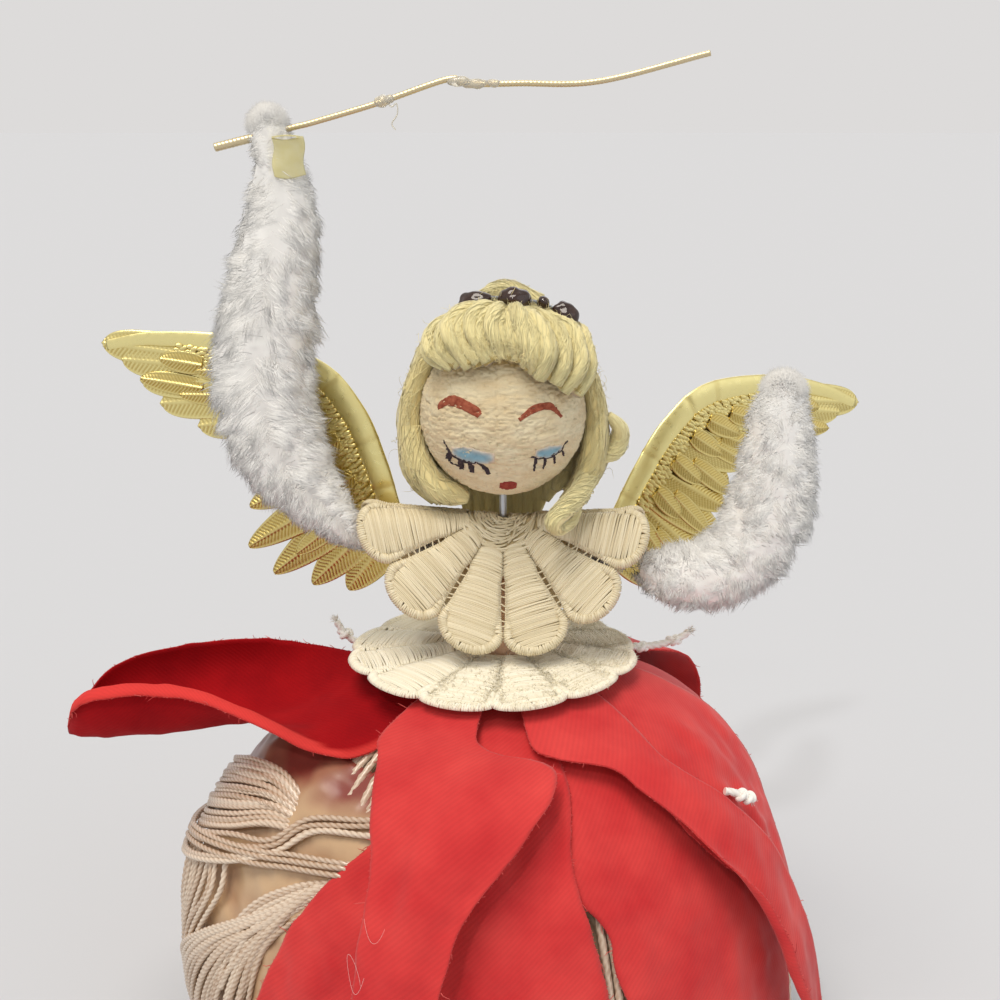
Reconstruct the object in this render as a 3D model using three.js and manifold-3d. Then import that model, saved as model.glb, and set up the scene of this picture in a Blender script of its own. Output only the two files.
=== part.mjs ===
// Angel ornament: a spun-cotton head with a yarn wig on a wire, lace at neck and waist, chenille arms,
// stamped foil wings, and a skirt of red cotton petals over looped white cord on a hollow card bell.
// Millimetres, +Z up. The origin is the middle of the bell's open foot. The angel faces -Y and its left is +X.
import * as THREE from 'three';
import { mergeVertices } from 'three/addons/utils/BufferGeometryUtils.js';
import Module from 'manifold-3d';

const wasm = await Module();
wasm.setup();

// Driving dimensions
const GAP = 0.3; // clearance between pieces that touch

const BELL_R = 64; // foot of the skirt form
const BELL_H = 89; // crown of the skirt form
const BELL_SIDE = 3.2; // roundness across: 2 is an ellipse, more is squarer
const BELL_CROWN = 2.2; // roundness upwards
const BELL_WALL = 1.2;

const CORD_D = 1.8;
const CORD_LOOPS = 20;
const CORD_SLACK = 0.6; // how loosely the loops lie on the form
const CORD_TOP_R = 23; // ring of the upper turns
const CORD_HEM_UP = 7; // lower turns above the foot
const CORD_PUFF = 10; // how far the loops stand out at the angel's right
const CORD_PUFF_TURN = -76; // middle of that stretch, in degrees from the front
const CORD_PUFF_SPREAD = 24;

const PETAL_T = 0.5;
const PETAL_ROOT_W = 6.4;
const PETAL_SLACK = 0.25; // how loosely the petals lie on the cord
const PETAL_LAYER = 1; // from one petal layer to the next
const PETAL_SPRING_R = 30; // upper petals start to stand off the skirt here
const PETAL_SPRING_RUN = 22;

const TORSO_H = 36.2;
const TORSO_WAIST_R = 8.6;
const TORSO_TOP_R = 4.6; // at the shoulders

const WIRE_D = 1.5;
const WIRE_FOOT = 9; // bent end below the crown
const WIRE_FOOT_DROP = 5;
const NECK = 4.9; // bare wire between collar and head

const LACE_R = 31;
const LACE_T = 1;
const LACE_PETALS = 12;
const LACE_CUSP = 0.68; // depth where two petals meet, as a share of the radius
const COLLAR_FOLD_R = 5.5; // bend over the shoulders
const COLLAR_FRONT = 66; // slope of the front and the back, in degrees
const COLLAR_BACK = 82;
const COLLAR_LIFT_RIGHT = 0.1; // rise of the shoulder line for each millimetre outwards
const COLLAR_LIFT_LEFT = 0.05;
const PEPLUM_UP = 8.4; // above the crown
const PEPLUM_FALL = 0.1;
const PEPLUM_WAVE = 0.5;

const STEM_D = 3.2;
const STEM_Y = 2.9; // passes behind the wire
const STEM_BELOW_TOP = 8.5;
const SHOULDER_X = 30;
const SHOULDER_Y = 1.5;
const SHOULDER_RIGHT_UP = 4; // end of the stem above its middle
const SHOULDER_LEFT_UP = -2.2;
const SHOULDER_R = 3.2;

const HEAD_D = 35;
const BEAD_D = 4.6;
const BEAD_LONG = 6.4;
const SPACER_D = 2.6;
const TIARA_WIRE_D = 0.8;

const STRAP_W = 28;
const STRAP_H = 18;
const STRAP_T = 0.8;
const STRAP_UP = 4; // above the collar's lower edge
const WING_T = 0.7;
const WING_ROOT_UP = 11; // above the strap's lower edge
const WING_SPAN = 77;
const WING_FEATHERS = 12;
const WING_RIGHT_SWEEP = 6;
const WING_LEFT_SWEEP = 27;
const WING_LEFT_DROP = 11;

const WAND_D = 1.6;
const TAB_T = 0.5;
const TAB_W = 5.8;
const TAB_H = 7.4;

const DEG = Math.PI / 180;
const { lerp, smoothstep } = THREE.MathUtils;
const at = (x, y, z) => new THREE.Vector3(x, y, z);

// A closed mesh from shared points, with its faces turned outwards
function closed(points, faces) {
  let volume = 0;
  const across = new THREE.Vector3();
  for (let i = 0; i < faces.length; i += 3) {
    across.crossVectors(points[faces[i + 1]], points[faces[i + 2]]);
    volume += points[faces[i]].dot(across);
  }
  const geometry = new THREE.BufferGeometry();
  const numbers = points.flatMap((point) => point.toArray());
  geometry.setAttribute('position', new THREE.Float32BufferAttribute(numbers, 3));
  geometry.setIndex(volume < 0 ? [...faces].reverse() : faces);
  return geometry;
}

function solidOf(geometry) {
  const bare = geometry.clone();
  bare.deleteAttribute('normal');
  bare.deleteAttribute('uv');
  const welded = mergeVertices(bare, 1e-4);
  return new wasm.Manifold(new wasm.Mesh({
    numProp: 3,
    vertProperties: new Float32Array(welded.attributes.position.array),
    triVerts: new Uint32Array(welded.index.array),
  }));
}

function geometryOf(solid) {
  const mesh = solid.getMesh();
  const geometry = new THREE.BufferGeometry();
  geometry.setAttribute('position', new THREE.BufferAttribute(mesh.vertProperties, 3));
  geometry.setIndex(new THREE.BufferAttribute(mesh.triVerts, 1));
  return geometry;
}

function join(pieces) {
  return geometryOf(pieces.map(solidOf).reduce((sum, piece) => sum.add(piece)));
}

function cut(geometry, tools) {
  return geometryOf(tools.map(solidOf).reduce((rest, tool) => rest.subtract(tool), solidOf(geometry)));
}

function mirrored(geometry) {
  const copy = geometry.clone().scale(-1, 1, 1);
  copy.setIndex([...copy.index.array].reverse());
  return copy;
}

// A skin over a row of rings, closed by a flat fan at each end
function skin(rings) {
  const sides = rings[0].length;
  const points = rings.flat();
  const faces = [];
  for (let i = 0; i + 1 < rings.length; i++) {
    for (let j = 0; j < sides; j++) {
      const a = i * sides + j;
      const b = i * sides + (j + 1) % sides;
      faces.push(a, a + sides, b, b, a + sides, b + sides);
    }
  }
  const lastRing = (rings.length - 1) * sides;
  const ends = [rings[0], rings.at(-1)].map((ring) => {
    const middle = ring.reduce((sum, point) => sum.add(point), at(0, 0, 0));
    return points.push(middle.divideScalar(sides)) - 1;
  });
  for (let j = 0; j < sides; j++) {
    const k = (j + 1) % sides;
    faces.push(ends[0], j, k, ends[1], lastRing + k, lastRing + j);
  }
  return closed(points, faces);
}

// A round stem along a smooth line, as thick as the radii given for its points, with domed or flat ends
function stem(line, radii, { sides = 8, steps = 16, domed = true } = {}) {
  const curve = new THREE.CatmullRomCurve3(line);
  const swell = new THREE.CatmullRomCurve3(radii.map((radius) => at(radius, 0, 0)));
  const places = [];
  for (let i = 0; i <= steps; i++) {
    const way = curve.getTangent(i / steps);
    places.push({ middle: curve.getPoint(i / steps), way, radius: swell.getPoint(i / steps).x });
  }
  if (domed) {
    const DOME = [35, 68];
    const first = places[0];
    const last = places.at(-1);
    for (const angle of DOME) {
      const radius = (end) => end.radius * Math.cos(angle * DEG);
      const reach = (end, sign) => end.middle.clone()
        .addScaledVector(end.way, sign * end.radius * Math.sin(angle * DEG));
      places.unshift({ middle: reach(first, -1), way: first.way, radius: radius(first) });
      places.push({ middle: reach(last, 1), way: last.way, radius: radius(last) });
    }
  }
  const start = places[0].way;
  let across = Math.abs(start.y) < 0.9 ? at(0, 1, 0) : at(1, 0, 0);
  return skin(places.map(({ middle, way, radius }) => {
    across = across.clone().addScaledVector(way, -across.dot(way)).normalize();
    const up = way.clone().cross(across);
    return Array.from({ length: sides }, (_, j) => {
      const angle = (j / sides) * 2 * Math.PI;
      return middle.clone()
        .addScaledVector(across, radius * Math.cos(angle))
        .addScaledVector(up, radius * Math.sin(angle));
    });
  }));
}

function rod(line, diameter, options = {}) {
  return stem(line, line.map(() => diameter / 2), { domed: false, ...options });
}

// A thin closed sheet: under(row, column) is its underside, with row and column from 0 to 1
function sheet(under, rows, columns, thickness, around = false) {
  const STEP = 1e-3;
  const wide = around ? columns : columns + 1;
  const inside = (value) => THREE.MathUtils.clamp(value, 0, 1);
  const lower = [];
  const upper = [];
  for (let i = 0; i <= rows; i++) {
    for (let j = 0; j < wide; j++) {
      const r = i / rows;
      const c = j / columns;
      const side = around ? (value) => value : inside;
      const down = under(inside(r + STEP), c).sub(under(inside(r - STEP), c));
      const over = under(r, side(c + STEP)).sub(under(r, side(c - STEP)));
      const normal = down.cross(over).normalize();
      const point = under(r, c);
      lower.push(point);
      upper.push(point.clone().addScaledVector(normal, thickness));
    }
  }
  const count = lower.length;
  const faces = [];
  const quad = (a, b, c, d) => faces.push(a, b, c, a, c, d);
  const low = (i, j) => i * wide + (j % wide);
  const high = (i, j) => count + low(i, j);
  for (let i = 0; i < rows; i++) {
    for (let j = 0; j < columns; j++) {
      quad(high(i, j), high(i + 1, j), high(i + 1, j + 1), high(i, j + 1));
      quad(low(i, j), low(i, j + 1), low(i + 1, j + 1), low(i + 1, j));
    }
  }
  for (let j = 0; j < columns; j++) {
    quad(low(0, j), high(0, j), high(0, j + 1), low(0, j + 1));
    quad(low(rows, j + 1), high(rows, j + 1), high(rows, j), low(rows, j));
  }
  for (let i = 0; i < rows && !around; i++) {
    quad(low(i + 1, 0), high(i + 1, 0), high(i, 0), low(i, 0));
    quad(low(i, columns), high(i, columns), high(i + 1, columns), low(i + 1, columns));
  }
  return closed([...lower, ...upper], faces);
}

function ball(diameter, middle, { wide = 16, high = 12, stretch = at(1, 1, 1) } = {}) {
  return new THREE.SphereGeometry(diameter / 2, wide, high)
    .rotateX(90 * DEG)
    .scale(stretch.x, stretch.y, stretch.z)
    .translate(middle.x, middle.y, middle.z);
}

// A solid turned about the upright axis from a closed profile drawn down its outer side
function revolve(profile, rounds) {
  return new THREE.LatheGeometry([...profile].reverse(), rounds).rotateX(90 * DEG);
}

// The skirt form's side, a superellipse, measured along its length from the middle of the crown
function bellSide(samples = 600) {
  const table = [];
  let length = 0;
  for (let i = 0; i <= samples; i++) {
    const turn = (i / samples) * 90 * DEG;
    const r = BELL_R * Math.sin(turn) ** (2 / BELL_SIDE);
    const z = BELL_H * Math.max(0, Math.cos(turn)) ** (2 / BELL_CROWN);
    if (i) length += Math.hypot(r - table[i - 1].r, z - table[i - 1].z);
    table.push({ length, r, z });
  }
  return table;
}
const BELL = bellSide();
const BELL_LENGTH = BELL.at(-1).length;

// Radius, height and outward normal at a distance down the form's side
function bell(distance) {
  let i = BELL.findIndex((row) => row.length >= distance);
  if (i < 1) i = i < 0 ? BELL.length - 1 : 1;
  const [a, b] = [BELL[i - 1], BELL[i]];
  const part = (distance - a.length) / (b.length - a.length);
  const [dr, dz] = [b.r - a.r, b.z - a.z];
  const size = Math.hypot(dr, dz);
  return { r: lerp(a.r, b.r, part), z: lerp(a.z, b.z, part), nr: -dz / size, nz: dr / size };
}

function bellDistance(radius) {
  return BELL.find((row) => row.r >= radius).length;
}

// A point off the skirt form, by turn from the front towards +X in degrees
function offBell(distance, turn, rise) {
  const side = bell(distance);
  const r = side.r + side.nr * rise;
  return at(r * Math.sin(turn * DEG), -r * Math.cos(turn * DEG), side.z + side.nz * rise);
}

const wireHoleR = WIRE_D / 2 + GAP;

function skirtForm() {
  const ROUNDS = 28;
  const STEPS = 9;
  const profile = [];
  const first = bellDistance(wireHoleR);
  for (let i = 0; i <= STEPS; i++) {
    const side = bell(lerp(first, BELL_LENGTH, (i / STEPS) ** 0.8));
    profile.push(new THREE.Vector2(side.r, side.z));
  }
  profile.push(new THREE.Vector2(BELL_R - BELL_WALL, 0));
  for (let i = STEPS - 1; i > 0; i--) {
    const side = bell(lerp(first, BELL_LENGTH, (i / STEPS) ** 0.8));
    profile.push(new THREE.Vector2(side.r - side.nr * BELL_WALL, side.z - side.nz * BELL_WALL));
  }
  profile.push(new THREE.Vector2(wireHoleR, BELL_H - BELL_WALL), profile[0].clone());
  return revolve(profile, ROUNDS);
}

const cordTop = bellDistance(CORD_TOP_R);
const cordHem = BELL_LENGTH - CORD_HEM_UP;

// How far the middle of the cord lies off the form, more where the loops stand out
function cordRise(distance, turn) {
  const away = (((turn - CORD_PUFF_TURN + 540) % 360) - 180) / CORD_PUFF_SPREAD;
  const along = Math.sin(Math.PI * THREE.MathUtils.clamp((distance - cordTop) / (cordHem - cordTop), 0, 1));
  return CORD_D / 2 + GAP + CORD_SLACK + CORD_PUFF * along * Math.exp(-away * away);
}

// One unbroken cord, up and down the skirt with a round turn at each end
function skirtCordLine() {
  const LEG_STEPS = 6;
  const TURN_STEPS = 4;
  const legs = CORD_LOOPS * 2;
  const legTurn = 360 / legs;
  const line = [];
  for (let leg = 0; leg < legs; leg++) {
    const turn = leg * legTurn - 180 + legTurn / 2;
    const down = leg % 2 === 0;
    const [from, to] = down ? [cordTop, cordHem] : [cordHem, cordTop];
    const halfTurnAt = (distance) => (bell(distance).r * legTurn * DEG) / 2;
    for (let i = 0; i <= LEG_STEPS; i++) {
      const distance = lerp(from, to, i / LEG_STEPS);
      line.push(offBell(distance, turn, cordRise(distance, turn)));
    }
    if (leg === legs - 1) break;
    for (let i = 1; i < TURN_STEPS; i++) {
      const angle = (i / TURN_STEPS) * 180 * DEG;
      const reach = halfTurnAt(to) * Math.sin(angle) * (down ? 1 : -1);
      const aside = turn + (legTurn / 2) * (1 - Math.cos(angle));
      line.push(offBell(to + reach, aside, cordRise(to, aside)));
    }
  }
  return line;
}

// Least clear distance between stretches of a cord that aren't neighbours along it
function leastGap(line, diameter) {
  const points = new THREE.CatmullRomCurve3(line).getPoints(line.length * 3);
  const NEIGHBOURS = 12;
  let least = Infinity;
  for (let i = 0; i < points.length; i++) {
    for (let j = i + NEIGHBOURS; j < points.length; j++) {
      least = Math.min(least, points[i].distanceTo(points[j]));
    }
  }
  return least - diameter;
}

function skirtCord() {
  const line = skirtCordLine();
  console.log(`skirt_cord least gap to itself: ${leastGap(line, CORD_D).toFixed(2)} mm`);
  return rod(line, CORD_D, { sides: 5, steps: line.length - 1 });
}

const torsoBase = BELL_H + GAP;
const torsoTop = torsoBase + TORSO_H;
const petalRootR = TORSO_WAIST_R + GAP;

// Half the petal's width as a share, from its root at 0 through its shoulder to its tip at 1
function petalOutline(part, width) {
  const TIP = 0.07;
  const swell = Math.sin(Math.PI * part ** 0.8) ** 0.7;
  return Math.max(swell, part < 0.5 ? PETAL_ROOT_W / width : TIP) * (width / 2);
}

// A red petal that hangs over the skirt. turn: where it leaves the waist and where its tip hangs, in degrees
// from the front; layer: its place in the pile; tipUp: how far its tip stays above the foot along the side
function skirtPetal({ turn, width, layer, tipUp, stand = 0, folds = 2, fold = 0.22, cup = 0 }) {
  const ROWS = 8;
  const COLUMNS = 5;
  const BUNCH = 1.35; // brings the rows closer at the skirt's shoulder
  const root = bellDistance(petalRootR);
  const crowd = bellDistance(CORD_TOP_R - CORD_D * 2);
  const spring = bellDistance(PETAL_SPRING_R);
  const tip = BELL_LENGTH - tipUp;
  const knots = [root, crowd, spring, tip];
  const rootRise = GAP + layer * PETAL_LAYER;
  return sheet((row, column) => {
    const step = Math.min(Math.floor(row * ROWS), 2);
    const [begin, end] = step < 2 ? [step / ROWS, (step + 1) / ROWS] : [2 / ROWS, 1];
    const share = ((row - begin) / (end - begin)) ** (step < 2 ? 1 : BUNCH);
    const distance = lerp(knots[step], knots[step + 1], share);
    const part = (distance - root) / (tip - root);
    const across = column * 2 - 1;
    const half = petalOutline(part, width);
    const free = smoothstep(distance, spring, spring + PETAL_SPRING_RUN);
    const turned = lerp(turn[0], turn[1], part) + (across * half) / bell(distance).r / DEG;
    const overCord = cordRise(distance, turned) + CORD_D / 2 + GAP + PETAL_SLACK + layer * PETAL_LAYER;
    const rise = lerp(rootRise, overCord, smoothstep(distance, root, crowd))
      + free * (stand + fold * (1 + Math.sin(Math.PI * (folds * across + part))) + cup * across * across);
    return offBell(distance, turned, rise);
  }, ROWS, COLUMNS, PETAL_T);
}

const curledRootZ = BELL_H + GAP + 3 * PETAL_LAYER;

// The petal that stands out from the waist like a trough, its front wall low near the waist
function curledPetal() {
  const ROWS = 8;
  const COLUMNS = 5;
  const WIDTH = 46;
  const TURN = -82;
  const LENGTH = 84;
  const DIP = 12; // fall from the waist to the trough's floor
  const BACK_UP = 2; // how steeply each wall stands at the tip, in radians
  const FRONT_UP = 1.7;
  const start = petalRootR;
  const outward = at(Math.sin(TURN * DEG), -Math.cos(TURN * DEG), 0);
  const frontward = at(-outward.y, outward.x, 0);
  return sheet((part, column) => {
    const across = column * 2 - 1;
    const half = petalOutline(0.06 + part * 0.86, WIDTH);
    const roll = smoothstep(part, 0.2, 0.72);
    const bend = roll * (across < 0 ? BACK_UP : FRONT_UP);
    const reach = Math.abs(across) * half;
    const curl = Math.max(bend, 1e-3);
    const span = (reach * Math.sin(curl * Math.abs(across))) / Math.max(curl * Math.abs(across), 1e-3);
    const lift = (reach * (1 - Math.cos(curl * Math.abs(across)))) / Math.max(curl * Math.abs(across), 1e-3);
    const fall = DIP * smoothstep(part, 0.12, 0.8);
    return at(0, 0, curledRootZ - fall + lift)
      .addScaledVector(outward, start + part * LENGTH)
      .addScaledVector(frontward, Math.sign(across) * span);
  }, ROWS, COLUMNS, PETAL_T);
}

// A short cord end with a knot, which lies outwards under the lace and turns up past its edge
function cordEnd(turn, restZ) {
  const KNOT_R = CORD_D * 0.95;
  const UNDER = LACE_R - 13; // where it starts, under the lace
  const PATH = [[0, 0], [6, 0], [12, 0], [15.5, 0.6], [18, 2], [19.4, 3.4], [20.6, 5.4]];
  const r = CORD_D / 2;
  const line = PATH.map(([out, up]) => {
    const reach = UNDER + out;
    return at(reach * Math.sin(turn * DEG), -reach * Math.cos(turn * DEG), restZ + up);
  });
  return stem(line, [r, r, r, r, r, KNOT_R, r], { sides: 6, steps: 10 });
}

// A knotted cord end that lies on the petal at the angel's left
function cordEndSide(turn, distance, rise) {
  const KNOT_R = CORD_D * 0.95;
  const REACH = 9;
  const r = CORD_D / 2;
  const LIFT = [0, 0.8, KNOT_R - r + 0.8, 1.6];
  const line = LIFT.map((lift, i) => {
    const along = i / (LIFT.length - 1);
    return offBell(distance + (along * REACH) / 2, turn + along * 6, rise + lift);
  });
  return stem(line, [r, r, KNOT_R, r], { sides: 6, steps: 6 });
}

function torso() {
  const ROUNDS = 20;
  const SHOULDER_DROP = 9;
  const DOME = [20, 42, 62];
  const profile = [
    [wireHoleR, TORSO_H],
    ...DOME.map((angle) => [
      (COLLAR_FOLD_R - 3 * GAP) * Math.sin(angle * DEG), TORSO_H - COLLAR_FOLD_R * (1 - Math.cos(angle * DEG)),
    ]),
    [lerp(TORSO_TOP_R, TORSO_WAIST_R, 0.35), TORSO_H - SHOULDER_DROP],
    [TORSO_WAIST_R, TORSO_H * 0.2], [TORSO_WAIST_R, 0], [wireHoleR, 0], [wireHoleR, TORSO_H],
  ].map(([r, z]) => new THREE.Vector2(r, z + torsoBase));
  return cut(revolve(profile, ROUNDS), [rod(stemLine(), STEM_D + 2 * GAP, { sides: 10 })]);
}

const stemZ = torsoTop - STEM_BELOW_TOP;
const shoulderRight = at(-SHOULDER_X, SHOULDER_Y, stemZ + SHOULDER_RIGHT_UP);
const shoulderLeft = at(SHOULDER_X, SHOULDER_Y, stemZ + SHOULDER_LEFT_UP);

// The chenille stem's middle, from shoulder to shoulder through the torso
function stemLine() {
  const stop = (shoulder) => {
    const inwards = at(-Math.sign(shoulder.x), 0, 0);
    return shoulder.clone().addScaledVector(inwards, SHOULDER_R + GAP);
  };
  const inner = TORSO_WAIST_R;
  return [
    stop(shoulderRight), at(-inner, STEM_Y, stemZ), at(0, STEM_Y, stemZ),
    at(inner, STEM_Y, stemZ), stop(shoulderLeft),
  ];
}

const collarZ = torsoTop + GAP;
const collarTop = collarZ + LACE_T;

// Where a lace petal ends, by turn in degrees
function laceRim(turn) {
  const bulge = Math.abs(Math.sin((turn / 2) * LACE_PETALS * DEG));
  return LACE_R * lerp(LACE_CUSP, 1, bulge ** 0.45);
}

// How far out and down the collar lies at a distance from its shoulder fold
function collarHang(distance, slope) {
  const bend = slope * DEG;
  const arc = COLLAR_FOLD_R * bend;
  const angle = Math.min(distance, arc) / COLLAR_FOLD_R;
  const rest = Math.max(0, distance - arc);
  return {
    out: COLLAR_FOLD_R * Math.sin(angle) + rest * Math.cos(bend),
    down: COLLAR_FOLD_R * (1 - Math.cos(angle)) + rest * Math.sin(bend),
  };
}

// A twelve-petal daisy of lace folded over the shoulders like a little cape
function collar() {
  const ROWS = 4;
  const BUNCH = 1.6; // brings the rows closer at the fold
  return sheet((row, column) => {
    const turn = column * 360;
    const reach = lerp(wireHoleR, laceRim(turn), row ** BUNCH);
    const x = -reach * Math.cos(turn * DEG);
    const forward = reach * Math.sin(turn * DEG);
    const hang = collarHang(Math.abs(forward), forward > 0 ? COLLAR_FRONT : COLLAR_BACK);
    const lift = Math.abs(x) * (x < 0 ? COLLAR_LIFT_RIGHT : COLLAR_LIFT_LEFT);
    return at(x, -Math.sign(forward) * hang.out, collarZ + lift - hang.down);
  }, ROWS, LACE_PETALS * 5, LACE_T, true);
}

// The same lace laid round the waist, nearly flat
function peplum() {
  const ROWS = 2;
  const WAVES = 3;
  const inner = TORSO_WAIST_R + GAP;
  return sheet((row, column) => {
    const turn = column * 360;
    const reach = lerp(inner, laceRim(turn), row);
    const wave = PEPLUM_WAVE * Math.sin(WAVES * turn * DEG) * row;
    const z = BELL_H + PEPLUM_UP - PEPLUM_FALL * (reach - inner) + wave;
    return at(-reach * Math.cos(turn * DEG), -reach * Math.sin(turn * DEG), z);
  }, ROWS, LACE_PETALS * 5, LACE_T, true);
}

const headR = HEAD_D / 2;
const headMiddle = at(0, 0, collarTop + NECK + headR);

function spineWire() {
  const foot = BELL_H - BELL_WALL - WIRE_FOOT_DROP;
  const BEND = 3;
  const line = [
    at(WIRE_FOOT, 0, foot), at(BEND, 0, foot), at(BEND * 0.3, 0, foot + BEND * 0.3),
    at(0, 0, foot + BEND), at(0, 0, foot + WIRE_FOOT_DROP), at(0, 0, torsoTop), at(0, 0, headMiddle.z),
  ];
  return rod(line, WIRE_D, { sides: 6, steps: 24 });
}

function headBall() {
  const bore = rod([at(0, 0, headMiddle.z + GAP), at(0, 0, headMiddle.z - headR - 1)], WIRE_D + 2 * GAP,
    { sides: 8, steps: 1 });
  return cut(ball(HEAD_D, headMiddle, { wide: 18, high: 12 }), [bore]);
}

// A point over the head by turn from the front towards +X, height angle, and distance from the ball
function overHead(turn, height, lift) {
  const reach = headR + lift;
  const flat = reach * Math.cos(height * DEG);
  const up = reach * Math.sin(height * DEG);
  return headMiddle.clone().add(at(flat * Math.sin(turn * DEG), -flat * Math.cos(turn * DEG), up));
}

// Stems that make up the wig: [turn, height, lift, radius] for each point
const FRINGE = [
  [-67, 31, 1.8, 4], [-47, 42, 4.2, 5.4], [-9, 55, 4.4, 6.1], [34, 48, 4, 5.9], [60, 27, 2.6, 4.2],
  [73, 10, 1.2, 2.4],
];
const TOP_KNOT = [[-60, 73, 4, 2.8], [150, 86, 5.4, 3.7], [100, 70, 4.6, 2.8]];
const LOCK_RIGHT = [[-92, 14, 2, 4.6], [-95, -24, 3.2, 5], [-98, -46, 4.2, 3.2]];
const LOCK_LEFT = [[92, 14, 2, 4.6], [94, -24, 3.4, 5], [96, -48, 4.4, 3.2]];
const CURL = [[92, -42, 4, 2.8], [66, -45, 7.4, 2.3], [40, -52, 7.4, 1.7], [34, -56, 7.6, 1.1]];

function yarn(rows, grow = 0, steps = 8) {
  const line = rows.map(([turn, height, lift]) => overHead(turn, height, lift));
  return stem(line, rows.map((row) => row[3] + grow), { sides: 8, steps });
}

const headClear = () => ball(HEAD_D + 2 * GAP, headMiddle, { wide: 18, high: 12 });

// Tiara places: [turn, height, lift]
const TIARA_ENDS = [[-76, 51, 5.4], [82, 37, 5.2]];
const BEADS = {
  bead_right: [-50, 72.5, 7.4, BEAD_D, BEAD_LONG],
  bead_middle: [18, 73.5, 7.8, BEAD_D, BEAD_LONG],
  bead_spacer: [53, 67, 7.7, SPACER_D, SPACER_D],
  bead_left: [67, 58.5, 7.1, BEAD_D + 1, BEAD_LONG],
};

function tiaraLine() {
  const middles = Object.values(BEADS).map((bead) => overHead(bead[0], bead[1], bead[2]));
  return [overHead(...TIARA_ENDS[0]), ...middles, overHead(...TIARA_ENDS[1])];
}

function tiaraWire(grow = 0) {
  return rod(tiaraLine(), TIARA_WIRE_D + 2 * grow, { sides: 5, steps: 14 });
}

function bead(name, grow = 0) {
  const [turn, height, lift, diameter, long] = BEADS[name];
  const stretch = at((long + 2 * grow) / (diameter + 2 * grow), 1, 1);
  return ball(diameter + 2 * grow, at(0, 0, 0), { wide: 8, high: 6, stretch })
    .rotateY((turn * (90 - height)) / 90 * DEG)
    .translate(...overHead(turn, height, lift).toArray());
}

const tiaraClear = () => [tiaraWire(GAP), ...Object.keys(BEADS).map((name) => bead(name, GAP))];

// The mass of the wig behind the face, with both side locks and the curl that comes forward
function hairBack() {
  const CAP = at(headR + 3, headR + 2.4, headR - 0.5);
  const CAP_BACK = 2.2;
  const CAP_UP = 6;
  const FACE_BACK = 5; // the wig stops this far in front of the head's middle
  const FACE_TILT = 17;
  const NAPE = at(16, 7.5, 13);
  const NAPE_BACK = 10;
  const NAPE_DOWN = 6;
  const cap = ball(2, headMiddle.clone().add(at(0, CAP_BACK, CAP_UP)), { wide: 14, high: 8, stretch: CAP });
  const nape = ball(2, headMiddle.clone().add(at(0, NAPE_BACK, -NAPE_DOWN)), { wide: 10, high: 6, stretch: NAPE });
  const depth = headR * 2;
  const face = new THREE.BoxGeometry(headR * 4, depth, headR * 5)
    .translate(0, -depth / 2 - FACE_BACK, 0)
    .rotateX(-FACE_TILT * DEG)
    .translate(...headMiddle.toArray());
  const open = cut(join([cap, nape]), [face]);
  const wig = join([open, yarn(LOCK_RIGHT), yarn(LOCK_LEFT), yarn(CURL)]);
  return cut(wig, [headClear(), yarn(FRINGE, GAP, 10), yarn(TOP_KNOT, GAP), ...tiaraClear()]);
}

function hairFringe() {
  return cut(yarn(FRINGE, 0, 10), [headClear(), ...tiaraClear()]);
}

function hairTopKnot() {
  return cut(yarn(TOP_KNOT), [headClear(), yarn(FRINGE, GAP, 10), ...tiaraClear()]);
}

// Arms: [across, back, up, radius] from the shoulder, with across towards the arm's own side
const RAISED_ARM = [
  [0, 0, 0, SHOULDER_R], [6, -1.5, 6.5, 7.3], [15, -2.5, 18.5, 10.3], [20, -3, 35, 11], [19.5, -3, 51.5, 9.8],
  [17.5, -3, 67.5, 7.4], [16.2, -3, 79, 4.7], [16.2, -3, 84.5, 4.2],
];
const LOW_ARM = [
  [0, 0, 0, SHOULDER_R], [8, -1.5, -1.8, 7.2], [20, -2.5, 1.4, 9], [28, -3, 10.8, 10], [30, -3, 21.8, 9.3],
  [29, -3, 32.6, 6.4], [28.3, -3, 38.5, 4.2],
];

function arm(rows, shoulder) {
  const side = Math.sign(shoulder.x);
  const line = rows.map(([across, back, up]) => shoulder.clone().add(at(side * across, back, up)));
  return stem(line, rows.map((row) => row[3]), { sides: 10, steps: 18 });
}

const grip = shoulderRight.clone().add(at(-RAISED_ARM.at(-1)[0], RAISED_ARM.at(-1)[1], RAISED_ARM.at(-1)[2]));
const WAND_SLOPE = 0.245; // straight through the hand
const WAND = [
  [-11, -11 * WAND_SLOPE], [-5, -5 * WAND_SLOPE], [0, 0], [5, 5 * WAND_SLOPE], [9, 9 * WAND_SLOPE], [21.6, 5.8],
  [35.4, 10.3], [39, 9.4], [49.5, 9.5], [65, 9.9], [86.6, 15.2],
];

function wand(grow = 0) {
  const line = WAND.map(([across, up]) => grip.clone().add(at(across, 0, up)));
  return rod(line, WAND_D + 2 * grow, { sides: 6, steps: 24 });
}

// A yellowed paper tab stuck to the hand, bent back a little past its edge
function wandTab() {
  const BELOW_GRIP = 2.2;
  const BEND_BACK = 1.9;
  const INSIDE = 1.2;
  const handR = RAISED_ARM.at(-2)[3];
  return sheet((row, column) => {
    const aside = INSIDE + column * TAB_W;
    const back = BEND_BACK * column * column;
    const lip = 0.8 * (1 - row) ** 4;
    return grip.clone().add(at(aside, -handR - GAP + back - lip, -BELOW_GRIP - row * TAB_H));
  }, 4, 3, TAB_T);
}

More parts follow.
